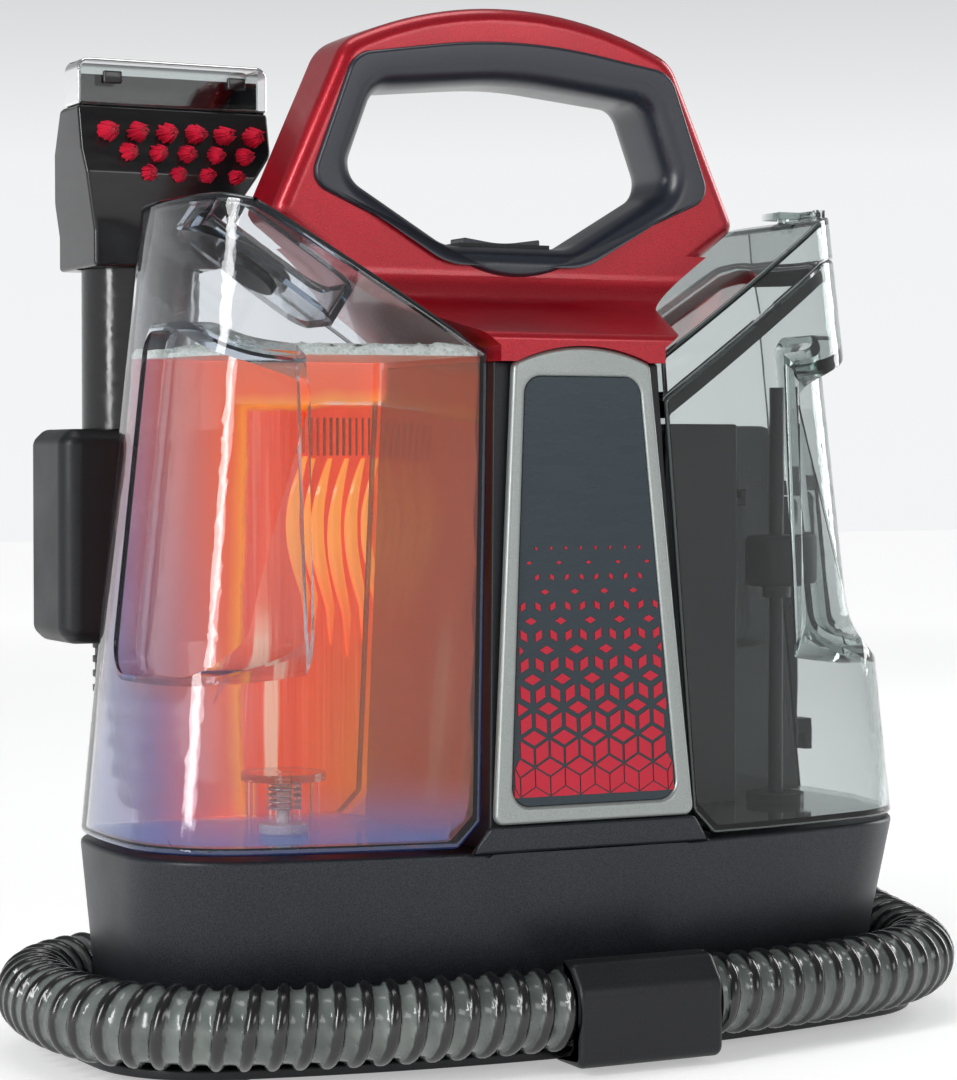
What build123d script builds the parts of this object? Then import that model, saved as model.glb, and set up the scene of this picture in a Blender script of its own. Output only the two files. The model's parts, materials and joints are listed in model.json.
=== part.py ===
from build123d import *
import math
import os

# Portable carpet cleaner: two lift-out tanks on a low base, a carrying handle over them,
# and a hose that wraps once round the base and ends in a wand stowed at the back left.
# X runs to the right, Y to the back, Z up.  The origin is on the floor, under the middle
# of the machine.  All lengths are millimetres.

os.makedirs("parts", exist_ok=True)

# ---------------------------------------------------------------- driving dimensions
BASE_BOTTOM = 6.0
BASE_TOP = 70.0
BODY_TOP = 285.0
HALF_WIDTH = 143.0
FRONT_DEPTH = 70.0
BACK_DEPTH = 57.0
SIDE_LEAN = 23.5
FRONT_LEAN = 14.0
FRONT_BOW = 22.0
SIDE_BOW = 6.0
CORNER = 40.0
TOP_CORNER = 30.0
BACK_CORNER_SHARE = 0.75
WALL = 2.4
GAP = 0.3

TANK_BOTTOM = 71.5
TANK_BACK = 28.0
TANK_TOP_INNER = 229.0
TANK_TOP_OUTER = 277.0
TANK_INNER_TOP_X = 31.5
TANK_INNER_BOTTOM_X = 38.5
SLOPE_OUTER_X = 104.0

HANDLE_FRONT = -14.0
HANDLE_BACK = 17.0
HANDLE_SPLIT = 1.5
HANDLE_TOP = 346.5

TOWER_BOTTOM_X = 36.5
TOWER_TOP_X = 30.0
TOWER_TOP = 226.0

REAR_TOP = 207.0
HOUSING_FRONT = 30.0

HOSE_DIAMETER = 27.0
HOSE_HEIGHT = 19.6
HOSE_BACK = 74.0

WAND_X = -104.0
WAND_Y = 70.0
WAND_BOTTOM = 111.5
WAND_TOP = 285.0

LEAN_SLOPE = FRONT_LEAN / (BODY_TOP - BASE_TOP)
PORT_X = 104.0
PORT_RADIUS = 13.4


# ---------------------------------------------------------------- helpers
def save(shape, name):
    """Write one named piece."""
    shape.label = name
    export_step(shape, f"parts/{name}.step")


def outline(points, radii):
    """Closed flat outline with one corner radius for each point, drawn in XY."""
    return make_face(FilletPolyline(*points, radius=radii, close=True))


def mirrored(half):
    """A closed list of points from the right half, given from bottom to top."""
    return half + [(-x, z) for x, z in reversed(half)]


def along_x(face, start, end):
    """Extrude an outline drawn as (y, z) between two X planes."""
    plane = Plane(origin=(start, 0, 0), x_dir=(0, 1, 0), z_dir=(1, 0, 0))
    return plane * extrude(face, amount=end - start)


def along_y(face, start, end):
    """Extrude an outline drawn as (x, z) between two Y planes."""
    plane = Plane(origin=(0, end, 0), x_dir=(1, 0, 0), z_dir=(0, -1, 0))
    return plane * extrude(face, amount=end - start)


def along_z(face, start, end):
    """Extrude an outline drawn as (x, y) between two Z planes."""
    return Pos(0, 0, start) * extrude(face, amount=end - start)


def block(x0, x1, y0, y1, z0, z1):
    """Box between two corners."""
    return Pos((x0 + x1) / 2, (y0 + y1) / 2, (z0 + z1) / 2) * Box(x1 - x0, y1 - y0, z1 - z0)


def rod(start, end, radius):
    """Round bar between two points."""
    start = Vector(*start)
    end = Vector(*end)
    plane = Plane(origin=start, z_dir=end - start)
    return plane * extrude(Circle(radius), amount=(end - start).length)


def tube(start, end, outer, inner):
    """Round tube between two points."""
    return rod(start, end, outer) - rod(start, end, inner)


def helix_spring(centre, radius, wire, height, turns):
    """Compression spring standing on centre, as stacked rings joined by a back strip."""
    pitch = (height - 2 * wire) / (turns - 1)
    rings = [Pos(centre[0], centre[1], centre[2] + wire + i * pitch) * Torus(radius, wire)
             for i in range(turns)]
    strip = rod((centre[0] + radius, centre[1], centre[2] + wire),
                (centre[0] + radius, centre[1], centre[2] + height - wire), wire * 0.7)
    body = strip
    for ring in rings:
        body += ring
    return body


def plan(half_width, front, back, corner=CORNER):
    """Rounded plan of the body: bowed front, back and ends, rounded corners."""
    inner_x = half_width - SIDE_BOW
    scale = half_width / HALF_WIDTH
    front_corner = (inner_x, -front + FRONT_BOW * scale)
    back_corner = (inner_x, back - FRONT_BOW * 0.6 * scale)
    left_front = (-front_corner[0], front_corner[1])
    left_back = (-back_corner[0], back_corner[1])
    edges = [
        ThreePointArc(left_front, (0, -front), front_corner),
        ThreePointArc(front_corner, (half_width, (front_corner[1] + back_corner[1]) / 2), back_corner),
        ThreePointArc(back_corner, (0, back), left_back),
        ThreePointArc(left_back, (-half_width, (front_corner[1] + back_corner[1]) / 2), left_front),
    ]
    face = make_face(edges)
    face = fillet([v for v in face.vertices() if v.Y < 0], corner)
    return fillet(face.vertices().sort_by(Axis.Y)[-2:], corner * BACK_CORNER_SHARE)


def lean(z):
    """How far the sloping body has drawn in at height z, as a share of the full lean."""
    return (z - BASE_TOP) / (BODY_TOP - BASE_TOP)


def envelope(inset, bottom, top):
    """Leaning body volume above the base, drawn in by inset all round."""
    sections = []
    for z in (bottom, top):
        half_width = HALF_WIDTH - SIDE_LEAN * lean(z) - inset
        front = FRONT_DEPTH - FRONT_LEAN * lean(z) - inset
        corner = CORNER - (CORNER - TOP_CORNER) * lean(z) - inset
        sections.append(Pos(0, 0, z) * plan(half_width, front, BACK_DEPTH - inset, corner))
    return loft(sections, ruled=True)


# ---------------------------------------------------------------- base
SHROUD_KNEE = 36.0
SHROUD_FOOT = (137.0, 57.5, 55.0)
SHROUD_KNEE_SIZE = (139.5, 62.5, 56.0)
PAN_TOP = BASE_BOTTOM + 3.0


def shroud_volume(inset, bottom, top):
    """Volume of the base: straight foot and flared upper part."""
    foot = plan(*[size - inset for size in SHROUD_FOOT], CORNER - inset)
    knee = plan(*[size - inset for size in SHROUD_KNEE_SIZE], CORNER - inset)
    head = plan(HALF_WIDTH - inset, FRONT_DEPTH - inset, BACK_DEPTH - inset, CORNER - inset)
    lower = loft([Pos(0, 0, bottom) * foot, Pos(0, 0, SHROUD_KNEE) * knee], ruled=True)
    upper = loft([Pos(0, 0, SHROUD_KNEE) * knee, Pos(0, 0, top) * head], ruled=True)
    return lower + upper


FAN_X = 66.0
PUMP_X = -70.0
SEAT_X = -88.0
SEAT_Y = -22.0
SEAT_BORE = 9.0
RISER_X = (70.0, 94.0)
RISER_Y = (32.8, 46.0)
DUCT_Y = 0.0
APRON_HALF = 37.0
APRON_TOP = 78.6


def make_base_shroud():
    """Upper shell of the base, open below, with holes for the valve seat and the air duct."""
    shell = shroud_volume(0, PAN_TOP, BASE_TOP) - shroud_volume(WALL, PAN_TOP - 1, BASE_TOP - WALL)
    shell -= rod((SEAT_X, SEAT_Y, BASE_TOP - 6), (SEAT_X, SEAT_Y, BASE_TOP + 2), SEAT_BORE + 3.05)
    shell -= rod((FAN_X, DUCT_Y, BASE_TOP - 6), (FAN_X, DUCT_Y, BASE_TOP + 2), 17.05)
    shell -= rod((PORT_X, 20, HOSE_HEIGHT), (PORT_X, 70, HOSE_HEIGHT), PORT_RADIUS + 0.05)
    shell -= block(RISER_X[0] - 0.1, RISER_X[1] + 0.1, RISER_Y[0] - 0.1, RISER_Y[1] + 0.1,
                   BASE_TOP - 6, BASE_TOP + 2)
    return shell + make_apron()


def make_apron():
    """Raised lip of the base below the silver bezel."""
    side = outline([(-FRONT_DEPTH, BASE_TOP - 0.5), (-FRONT_DEPTH - 1.9, APRON_TOP - 0.1),
                    (tower_front(APRON_TOP) - 0.1, APRON_TOP - 0.1),
                    (tower_front(BASE_TOP) - 0.1, BASE_TOP - 0.5)],
                   [0, 0, 0, 0])
    front = outline(mirrored([(APRON_HALF + 7, BASE_TOP - 1), (APRON_HALF, APRON_TOP)]), [0, 0, 0, 0])
    return along_x(side, -60, 60) & along_y(front, -80, -50)


TRAY_SIZE = (152.0, 70.0, 68.0)
TRAY_BOTTOM = 2.5


def make_base_pan():
    """Bottom pan with the thin tray that carries the hose."""
    tray = along_z(plan(*TRAY_SIZE), TRAY_BOTTOM, BASE_BOTTOM)
    step = along_z(plan(*[size - WALL - 0.1 for size in SHROUD_FOOT]), BASE_BOTTOM, PAN_TOP + 2)
    hollow = along_z(plan(*[size - 2 * WALL for size in SHROUD_FOOT]), BASE_BOTTOM, PAN_TOP + 3)
    pan = tray + (step - hollow)
    pan -= rod((PORT_X, 20, HOSE_HEIGHT), (PORT_X, 70, HOSE_HEIGHT), PORT_RADIUS + 0.05)
    for x, y in foot_places():
        pan -= rod((x, y, TRAY_BOTTOM - 1), (x, y, BASE_BOTTOM - 1.5), 9.05)
    return pan


def foot_places():
    return [(x, y) for x in (-112, 112) for y in (-36, 36)]


def make_feet():
    """Four rubber feet in one node."""
    return Compound([rod((x, y, 0), (x, y, BASE_BOTTOM - 1.5), 9) for x, y in foot_places()])


CLIP_LEFT = -15.0
CLIP_RIGHT = 37.0
CLIP_FRONT = -90.0


def make_hose_clip():
    """Hook at the front that holds the hose on its tray."""
    hose_y = -73.6
    bore = HOSE_DIAMETER / 2 + GAP
    profile = outline([(-66, TRAY_BOTTOM), (CLIP_FRONT, TRAY_BOTTOM), (CLIP_FRONT, 27), (-83, 35.4),
                       (-76, 35.4), (-76, BASE_BOTTOM), (-66, BASE_BOTTOM)],
                      [0.5, 4, 8, 3, 1, 0.5, 0.5])
    hook = along_x(profile, CLIP_LEFT, CLIP_RIGHT)
    hook -= rod((CLIP_LEFT - 1, hose_y, HOSE_HEIGHT), (CLIP_RIGHT + 1, hose_y, HOSE_HEIGHT), bore)
    hook -= along_z(plan(*TRAY_SIZE), 0, BASE_BOTTOM)
    return hook


# ---------------------------------------------------------------- front tower
BEZEL_BOTTOM = 79.0
BEZEL_BOTTOM_X = 36.2
BEZEL_TOP_X = 25.0
BEZEL_SIDE_TOP = 226.0
BEZEL_APEX = 231.5
BEZEL_FRONT = -72.4
BEZEL_DEPTH = 4.0
INSERT_BOTTOM = 84.5
INSERT_TOP = 221.7
INSERT_BOTTOM_X = 30.0
INSERT_TOP_X = 20.8


def tower_front(z):
    return -(FRONT_DEPTH - 1.6) + LEAN_SLOPE * (z - BASE_TOP)


def make_tower():
    """Hollow black column between the tanks, open below and at the back."""
    def column(inset):
        front = outline(mirrored([(TOWER_BOTTOM_X - inset, BASE_TOP - (5 if inset else 0)),
                                  (TOWER_TOP_X - inset, TOWER_TOP - inset)]), [0, 0, 0, 0])
        side = outline([(tower_front(BASE_TOP) + inset, BASE_TOP - (5 if inset else 0)),
                        (tower_front(TOWER_TOP) + inset, TOWER_TOP - inset),
                        (HOUSING_FRONT + inset * 2 - WALL, TOWER_TOP - inset),
                        (HOUSING_FRONT + inset * 2 - WALL, BASE_TOP - (5 if inset else 0))], [0, 0, 0, 0])
        return along_y(front, -80, 40) & along_x(side, -40, 40)
    return column(0) - column(WALL)


def panel_plane(depth):
    """Plane of the leaning front panel, depth millimetres behind its face."""
    slope = math.atan(LEAN_SLOPE)
    normal = Vector(0, -math.cos(slope), math.sin(slope))
    origin = Vector(0, BEZEL_FRONT, BEZEL_BOTTOM) - normal * depth
    return Plane(origin=origin, x_dir=(1, 0, 0), z_dir=normal)


def bezel_outline():
    height = BEZEL_SIDE_TOP - BEZEL_BOTTOM
    arch = BEZEL_APEX - BEZEL_BOTTOM
    edges = [Line((-BEZEL_BOTTOM_X, 0), (BEZEL_BOTTOM_X, 0)),
             Line((BEZEL_BOTTOM_X, 0), (BEZEL_TOP_X, height)),
             ThreePointArc((BEZEL_TOP_X, height), (0, arch), (-BEZEL_TOP_X, height)),
             Line((-BEZEL_TOP_X, height), (-BEZEL_BOTTOM_X, 0))]
    return fillet(make_face(edges).vertices(), 3)


def insert_outline(grow):
    low = INSERT_BOTTOM - BEZEL_BOTTOM
    high = INSERT_TOP - BEZEL_BOTTOM
    corners = mirrored([(INSERT_BOTTOM_X + grow, low - grow), (INSERT_TOP_X + grow, high + grow)])
    return outline(corners, [6 + grow] * 4)


def make_bezel():
    """Silver frame round the patterned insert."""
    ring = extrude(bezel_outline(), amount=BEZEL_DEPTH) - extrude(insert_outline(0.05), amount=BEZEL_DEPTH)
    return panel_plane(BEZEL_DEPTH) * ring


def make_insert():
    """Flat panel set 1 mm behind the face of the bezel."""
    return panel_plane(BEZEL_DEPTH) * extrude(insert_outline(0), amount=BEZEL_DEPTH - 1)


# ---------------------------------------------------------------- handle
SHELL_HALF = [(TOWER_TOP_X, TOWER_TOP), (TOWER_TOP_X, 231.0), (87.5, 275.0), (62.0, 332.0)]
NECK_FRONT = -63.5
NECK_LIP = 235.0
NECK_ROOT = 248.0
NECK_BACK = 26.0
NECK_SHOULDER = 262.0
SHELL_ROUNDING = 5.5
ROUND_ABOVE = 265.0


def shell_outline(inset):
    """Front view of the red handle shell."""
    edges = [
        Line((-TOWER_TOP_X, TOWER_TOP), (TOWER_TOP_X, TOWER_TOP)),
        Polyline(*SHELL_HALF),
        ThreePointArc(SHELL_HALF[-1], (0, HANDLE_TOP), (-SHELL_HALF[-1][0], SHELL_HALF[-1][1])),
        Polyline(*[(-x, z) for x, z in reversed(SHELL_HALF)]),
    ]
    face = make_face(edges)
    top_corners = [v for v in face.vertices() if v.Y > 325]
    face = fillet(top_corners, 14)
    shoulders = [v for v in face.vertices() if 274 < v.Y < 276]
    face = fillet(shoulders, 5)
    if inset:
        face = offset(face, amount=-inset, kind=Kind.INTERSECTION)
    return face


def grip_outline(grow):
    """Outer edge of the soft grip ring."""
    points = [(0, 252.0), (75.5, 285.0), (59.5, 328.0), (0, 337.0), (-59.5, 328.0), (-75.5, 285.0)]
    face = outline(points, [45, 7, 10, 200, 10, 7])
    if grow:
        face = offset(face, amount=grow)
    return face


def opening_outline():
    """Hand opening inside the grip ring."""
    points = [(24.0, 266.5), (61.0, 288.5), (50.5, 316.5), (0, 321.5), (-50.5, 316.5), (-61.0, 288.5),
              (-24.0, 266.5)]
    return outline(points, [16, 8, 8, 150, 8, 8, 16])


def handle_side(inset):
    """Side view of the handle, with the neck sweeping forward to the front panel."""
    floor = TOWER_TOP - (1 if inset else 0)
    points = [(HANDLE_FRONT + inset, HANDLE_TOP + 5), (HANDLE_FRONT + inset, NECK_ROOT - inset),
              (NECK_FRONT + inset, NECK_LIP - inset), (NECK_FRONT + inset, floor),
              (NECK_BACK - inset, floor), (NECK_BACK - inset, NECK_ROOT),
              (HANDLE_BACK - inset, NECK_SHOULDER), (HANDLE_BACK - inset, HANDLE_TOP + 5)]
    return outline(points, [0, 14, 3, 0, 0, 6, 10, 0])


def rounded_top():
    """Upper part of the handle, with large roundings along its front and back outlines."""
    slab = along_y(shell_outline(0), HANDLE_FRONT, HANDLE_BACK)
    faces = slab.edges().group_by(Axis.Y)
    outer = [edge for edge in faces[0] + faces[-1] if edge.center().Z > ROUND_ABOVE]
    return fillet(outer, SHELL_ROUNDING) & block(-130, 130, -90, 60, ROUND_ABOVE, 400)


def handle_volume(inset):
    """Solid volume of the handle shell, drawn in by inset, with the hole for the grip ring."""
    body = along_y(shell_outline(inset), -90, 60) & along_x(handle_side(inset), -120, 120)
    if not inset:
        body = (body & block(-130, 130, -90, 60, TOWER_TOP - 1, ROUND_ABOVE)) + rounded_top()
    return body - along_y(grip_outline(0.05 + inset), -90, 60)


def make_handle_half(front):
    """One hollow half of the handle shell."""
    limits = (-90, HANDLE_SPLIT) if front else (HANDLE_SPLIT, 60)
    shell = handle_volume(0) - handle_volume(WALL)
    half = shell & block(-130, 130, limits[0], limits[1], 200, 400)
    half -= panel_plane(BEZEL_DEPTH + 0.05) * extrude(bezel_outline(), amount=BEZEL_DEPTH + 20)
    half -= switch_case(0.05)
    for x, z in handle_screw_places():
        post = rod((x, HANDLE_FRONT + WALL - 0.5, z), (x, HANDLE_BACK, z), 4)
        half += post & block(-130, 130, limits[0], limits[1], 200, 400)
        half -= rod((x, HANDLE_SPLIT - 9, z), (x, HANDLE_BACK + 1, z), 1.8)
    return half


def handle_screw_places():
    return [(x, 272.5) for x in (-69.0, 69.0)]


def make_handle_screws():
    """Two screws that hold the halves of the handle together."""
    return Compound([rod((x, HANDLE_SPLIT - 8, z), (x, HANDLE_BACK - 0.5, z), 1.75)
                     for x, z in handle_screw_places()])


SWITCH_WIDTH = 34.0
SWITCH_DEPTH = 15.0
SWITCH_Z = 266.5
ROCKER_Y = 1.5


def make_grip():
    """Soft ring inside the handle, with a pad that carries the switch."""
    ring = along_y(grip_outline(0), HANDLE_FRONT - 2, HANDLE_BACK + 2)
    ring -= along_y(opening_outline(), HANDLE_FRONT - 5, HANDLE_BACK + 5)
    half_w = SWITCH_WIDTH / 2
    ring -= block(-half_w - 0.05, half_w + 0.05, ROCKER_Y - SWITCH_DEPTH / 2 - 0.05,
                  ROCKER_Y + SWITCH_DEPTH / 2 + 0.05, 240, SWITCH_Z + 10)
    return ring


def switch_case(grow):
    """Outer block of the switch, grown sideways and down by grow."""
    half_w = SWITCH_WIDTH / 2 + grow
    half_d = SWITCH_DEPTH / 2 + grow
    return block(-half_w, half_w, ROCKER_Y - half_d, ROCKER_Y + half_d, SWITCH_Z - 7.5 - grow, SWITCH_Z + 1.2)


def make_switch_body():
    """Switch case let into the lower side of the grip ring, open above for the rocker."""
    half_w = SWITCH_WIDTH / 2
    half_d = SWITCH_DEPTH / 2
    case = switch_case(0)
    pocket = block(-half_w + 2, half_w - 2, ROCKER_Y - half_d + 2, ROCKER_Y + half_d - 2,
                   SWITCH_Z - 5.5, SWITCH_Z + 3)
    pin = rod((0, ROCKER_Y - half_d + 1, SWITCH_Z - 1.5), (0, ROCKER_Y + half_d - 1, SWITCH_Z - 1.5), 1.0)
    return case - pocket + pin


def make_rocker():
    """Power rocker on its cross pin: a shallow V on top, so that one end stands up."""
    half_w = SWITCH_WIDTH / 2 - 2.6
    half_d = SWITCH_DEPTH / 2 - 2.4
    side = outline([(-half_w, -1.5), (-half_w + 4, -3.0), (half_w - 4, -3.0), (half_w, -1.5),
                    (half_w, 3.2), (0, 1.2), (-half_w, 3.2)], [0, 0, 0, 0, 0.6, 40, 0.6])
    rocker = Pos(0, 0, SWITCH_Z) * along_y(side, ROCKER_Y - half_d, ROCKER_Y + half_d)
    bore = rod((0, ROCKER_Y - 9, SWITCH_Z - 1.5), (0, ROCKER_Y + 9, SWITCH_Z - 1.5), 1.05)
    return rocker - bore


# ---------------------------------------------------------------- tanks
LID_DEPTH = 15.0
SLOPE_X = SLOPE_OUTER_X - TANK_INNER_TOP_X
SLOPE_Z = TANK_TOP_OUTER - TANK_TOP_INNER
SLOPE_ANGLE = math.degrees(math.atan2(SLOPE_Z, SLOPE_X))


def slope_height(x):
    """Height of the sloping tank top at distance x from the middle."""
    return TANK_TOP_INNER + SLOPE_Z * (abs(x) - TANK_INNER_TOP_X) / SLOPE_X


def tank_front_outline(inset, drop):
    """Front view of a tank on the right side; drop lowers the sloping top."""
    bottom = TANK_BOTTOM + inset
    slope_at = lambda x: slope_height(x) - drop - inset * 1.2
    inner_bottom = TANK_INNER_BOTTOM_X + inset
    inner_top = TANK_INNER_TOP_X + inset + drop * 0.045
    points = [(inner_bottom + 8, bottom), (160, bottom), (160, TANK_TOP_OUTER + 2 - drop - inset),
              (SLOPE_OUTER_X + 8, TANK_TOP_OUTER + 2 - drop - inset),
              (SLOPE_OUTER_X, slope_at(SLOPE_OUTER_X)),
              (inner_top, slope_at(inner_top)), (inner_bottom, bottom + 8)]
    return outline(points, [3, 0, 0, 8, 8, 2, 3])


FINGER_FRONT = -50.0
FINGER_Z = (126.0, 236.0)
FINGER_DEPTH = 7.5
FINGER_BACK = 6.0


def finger_recess(inset):
    """Shallow recess round the outer front corner of a tank, where the fingers take hold."""
    low = FINGER_Z[0] - inset
    high = FINGER_Z[1] + inset
    front = FINGER_FRONT - inset
    back = FINGER_BACK + inset
    side = outline([(front, low), (front, high - 14), (front + 30, high), (back, high), (back, low)],
                   [16, 14, 16, 8, 12])
    return along_x(side, 90, 160) - envelope(FINGER_DEPTH + inset, TANK_BOTTOM, BODY_TOP)


def tank_volume(inset, drop=0.0):
    """Solid volume of the right tank, drawn in by inset."""
    front = along_y(tank_front_outline(inset, drop), -90, TANK_BACK - inset)
    return (front & envelope(inset, TANK_BOTTOM + inset, BODY_TOP)) - finger_recess(inset)


def mirror_x(shape):
    return shape.mirror(Plane.YZ)


RECESS_Y = (-30.0, -2.0)
RECESS_X = (66.0, 108.0)
RECESS_DEPTH = 13.0
CAP_X = 89.0
CAP_Y = -16.0
CAP_RADIUS = 13.0
CAP_BORE = 10.5


def slope_plane(x, y, drop):
    """Plane on the right tank's sloping top, drop millimetres below it."""
    angle = math.radians(SLOPE_ANGLE)
    normal = Vector(-math.sin(angle), 0, math.cos(angle))
    origin = Vector(x, y, slope_height(x)) - normal * drop
    return Plane(origin=origin, x_dir=(math.cos(angle), 0, math.sin(angle)), z_dir=normal)


def recess_block(grow):
    """Pocket let into the sloping top for the fill cap."""
    length = (RECESS_X[1] - RECESS_X[0]) / math.cos(math.radians(SLOPE_ANGLE)) + 2 * grow
    width = RECESS_Y[1] - RECESS_Y[0] + 2 * grow
    pocket = extrude(RectangleRounded(length, width, 8), amount=60)
    middle_x = (RECESS_X[0] + RECESS_X[1]) / 2
    return slope_plane(middle_x, (RECESS_Y[0] + RECESS_Y[1]) / 2, RECESS_DEPTH + grow) * pocket


def make_clean_tank():
    """Clear tank: hollow, with a pocket for the fill cap and an outlet neck in its floor."""
    cavity = tank_volume(WALL) - recess_block(WALL)
    shell = tank_volume(0) - cavity - recess_block(0)
    shell -= slope_plane(CAP_X, CAP_Y, RECESS_DEPTH + 6) * extrude(Circle(CAP_BORE), amount=12)
    shell -= rod((-SEAT_X, SEAT_Y, TANK_BOTTOM - 1), (-SEAT_X, SEAT_Y, TANK_BOTTOM + WALL + 1), 5.2)
    return mirror_x(shell)


def make_fill_cap():
    """Round cap with a plug and a finger bar."""
    disc = extrude(Circle(CAP_RADIUS), amount=3)
    disc = fillet(disc.edges().group_by(Axis.Z)[-1], 1.0)
    plug = Pos(0, 0, -4) * extrude(Circle(CAP_BORE - 0.4), amount=4)
    bar = Pos(0, 0, 3) * extrude(RectangleRounded(18, 4.5, 1.5), amount=3.5)
    return mirror_x(slope_plane(CAP_X, CAP_Y, RECESS_DEPTH - 0.1) * (disc + plug + bar))


def make_outlet_valve():
    """Sprung poppet in the floor of the clean tank: head above, stem in the bore."""
    head = rod((SEAT_X, SEAT_Y, TANK_BOTTOM + WALL + 0.3), (SEAT_X, SEAT_Y, TANK_BOTTOM + WALL + 3.3), 8)
    stem = rod((SEAT_X, SEAT_Y, TANK_BOTTOM + 0.4), (SEAT_X, SEAT_Y, TANK_BOTTOM + WALL + 14), 2.2)
    return head + stem


def make_valve_cage():
    """Bridge inside the clean tank that guides the poppet and holds its spring down."""
    floor = TANK_BOTTOM + WALL
    top = floor + 20
    legs = [rod((SEAT_X + x, SEAT_Y + y, floor), (SEAT_X + x, SEAT_Y + y, top), 1.6)
            for x, y in ((11, 0), (-11, 0), (0, 11), (0, -11))]
    plate = rod((SEAT_X, SEAT_Y, top - 2.5), (SEAT_X, SEAT_Y, top), 13.6)
    cage = plate - rod((SEAT_X, SEAT_Y, top - 4), (SEAT_X, SEAT_Y, top + 1), 2.6)
    for leg in legs:
        cage += leg
    return cage


def make_valve_spring():
    floor = TANK_BOTTOM + WALL
    return helix_spring((SEAT_X, SEAT_Y, floor + 8.0), 4.6, 0.5, 9.0, 5)


def make_valve_seat():
    """Cup in the base below the outlet valve, with the pin that would lift the poppet."""
    cup = tube((SEAT_X, SEAT_Y, BASE_TOP - 12), (SEAT_X, SEAT_Y, BASE_TOP), SEAT_BORE + 3, SEAT_BORE)
    floor = rod((SEAT_X, SEAT_Y, BASE_TOP - 12), (SEAT_X, SEAT_Y, BASE_TOP - 9), SEAT_BORE)
    pin = rod((SEAT_X, SEAT_Y, BASE_TOP - 9), (SEAT_X, SEAT_Y, BASE_TOP + 1.4), 1.8)
    spout = rod((SEAT_X, SEAT_Y, BASE_TOP - 18), (SEAT_X, SEAT_Y, BASE_TOP - 12), 3.5)
    return cup + floor + pin + spout


def make_seat_seal():
    """Rubber ring in the top of the cup."""
    return tube((SEAT_X, SEAT_Y, BASE_TOP - 4), (SEAT_X, SEAT_Y, BASE_TOP + 1.0), SEAT_BORE - 0.05, 6.5)


def make_dirty_tank():
    """Smoke-grey tank: open along its sloping top, which the lid closes."""
    return tank_volume(0, LID_DEPTH) - tank_volume(WALL, LID_DEPTH - 8)


def make_dirty_lid():
    """Clear lid that closes the slanting top of the dirty tank, open below."""
    band = tank_volume(0) - tank_volume(0, LID_DEPTH - 0.05)
    return band - tank_volume(WALL) - pour_hole(POUR_BORE)


def make_lid_seal():
    """Rubber band just inside the tank, where the lid sits on it."""
    band = tank_volume(WALL + 0.1, LID_DEPTH - 1) - tank_volume(WALL + 0.1, LID_DEPTH + 4)
    return band - tank_volume(WALL + 2.0, 2.0)


POUR_X = 110.0
POUR_Y = -10.0
POUR_BORE = 4.5
LID_TOP = TANK_TOP_OUTER + 2
FLAP_HINGE_X = 118.0
FLAP_HINGE_Z = LID_TOP + 2.0


def pour_hole(radius):
    return rod((POUR_X, POUR_Y, LID_TOP - 12), (POUR_X, POUR_Y, LID_TOP + 8), radius)


def make_flap_hinge():
    """Two lugs and a pin on the lid, for the pour flap."""
    pin = rod((FLAP_HINGE_X, POUR_Y - 9, FLAP_HINGE_Z), (FLAP_HINGE_X, POUR_Y + 9, FLAP_HINGE_Z), 0.9)
    lugs = [block(FLAP_HINGE_X - 1.8, FLAP_HINGE_X + 1.8, POUR_Y + y - 1.2, POUR_Y + y + 1.2,
                  LID_TOP, FLAP_HINGE_Z + 1.6) for y in (-7.8, 7.8)]
    return pin + lugs[0] + lugs[1]


def make_pour_flap():
    """Small flap with a plug, over the pour hole of the lid."""
    plate = block(POUR_X - 7, FLAP_HINGE_X - 2.2, POUR_Y - 6.2, POUR_Y + 6.2, LID_TOP + 0.3, LID_TOP + 2.6)
    neck = block(FLAP_HINGE_X - 2.4, FLAP_HINGE_X, POUR_Y - 5.5, POUR_Y + 5.5, LID_TOP + 0.8, LID_TOP + 3.2)
    barrel = rod((FLAP_HINGE_X, POUR_Y - 6.0, FLAP_HINGE_Z), (FLAP_HINGE_X, POUR_Y + 6.0, FLAP_HINGE_Z), 1.7)
    plug = rod((POUR_X, POUR_Y, LID_TOP - 1.6), (POUR_X, POUR_Y, LID_TOP + 0.4), POUR_BORE - 0.9)
    bore = rod((FLAP_HINGE_X, POUR_Y - 8, FLAP_HINGE_Z), (FLAP_HINGE_X, POUR_Y + 8, FLAP_HINGE_Z), 0.95)
    return plate + neck + barrel + plug - bore


COLUMN_X = (60.0, 88.0)
COLUMN_Y = (-12.0, 16.0)
FLOAT_X = 104.0
FLOAT_Y = -12.0
FLOAT_BOTTOM = 150.0
FLOAT_HEIGHT = 18.0
POST_TOP = 220.0


SPILL_END = 101.0
SPILL_Y = (2.0, 14.0)
SPILL_Z = 178.0


def make_separator():
    """Black duct in the dirty tank, with a shelf that keeps splashes down: wet air rises inside it."""
    outer = block(COLUMN_X[0], COLUMN_X[1], COLUMN_Y[0], COLUMN_Y[1], TANK_BOTTOM + WALL, REAR_TOP)
    inner = block(COLUMN_X[0] + 2, COLUMN_X[1] - 2, COLUMN_Y[0] + 2, COLUMN_Y[1] - 2,
                  TANK_BOTTOM + WALL + 2, REAR_TOP + 1)
    shelf = block(COLUMN_X[1] - 1, SPILL_END, *SPILL_Y, SPILL_Z, SPILL_Z + 3)
    hook = block(SPILL_END - 3, SPILL_END, *SPILL_Y, SPILL_Z, SPILL_Z + 6)
    return outer + shelf + hook - inner


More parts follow.
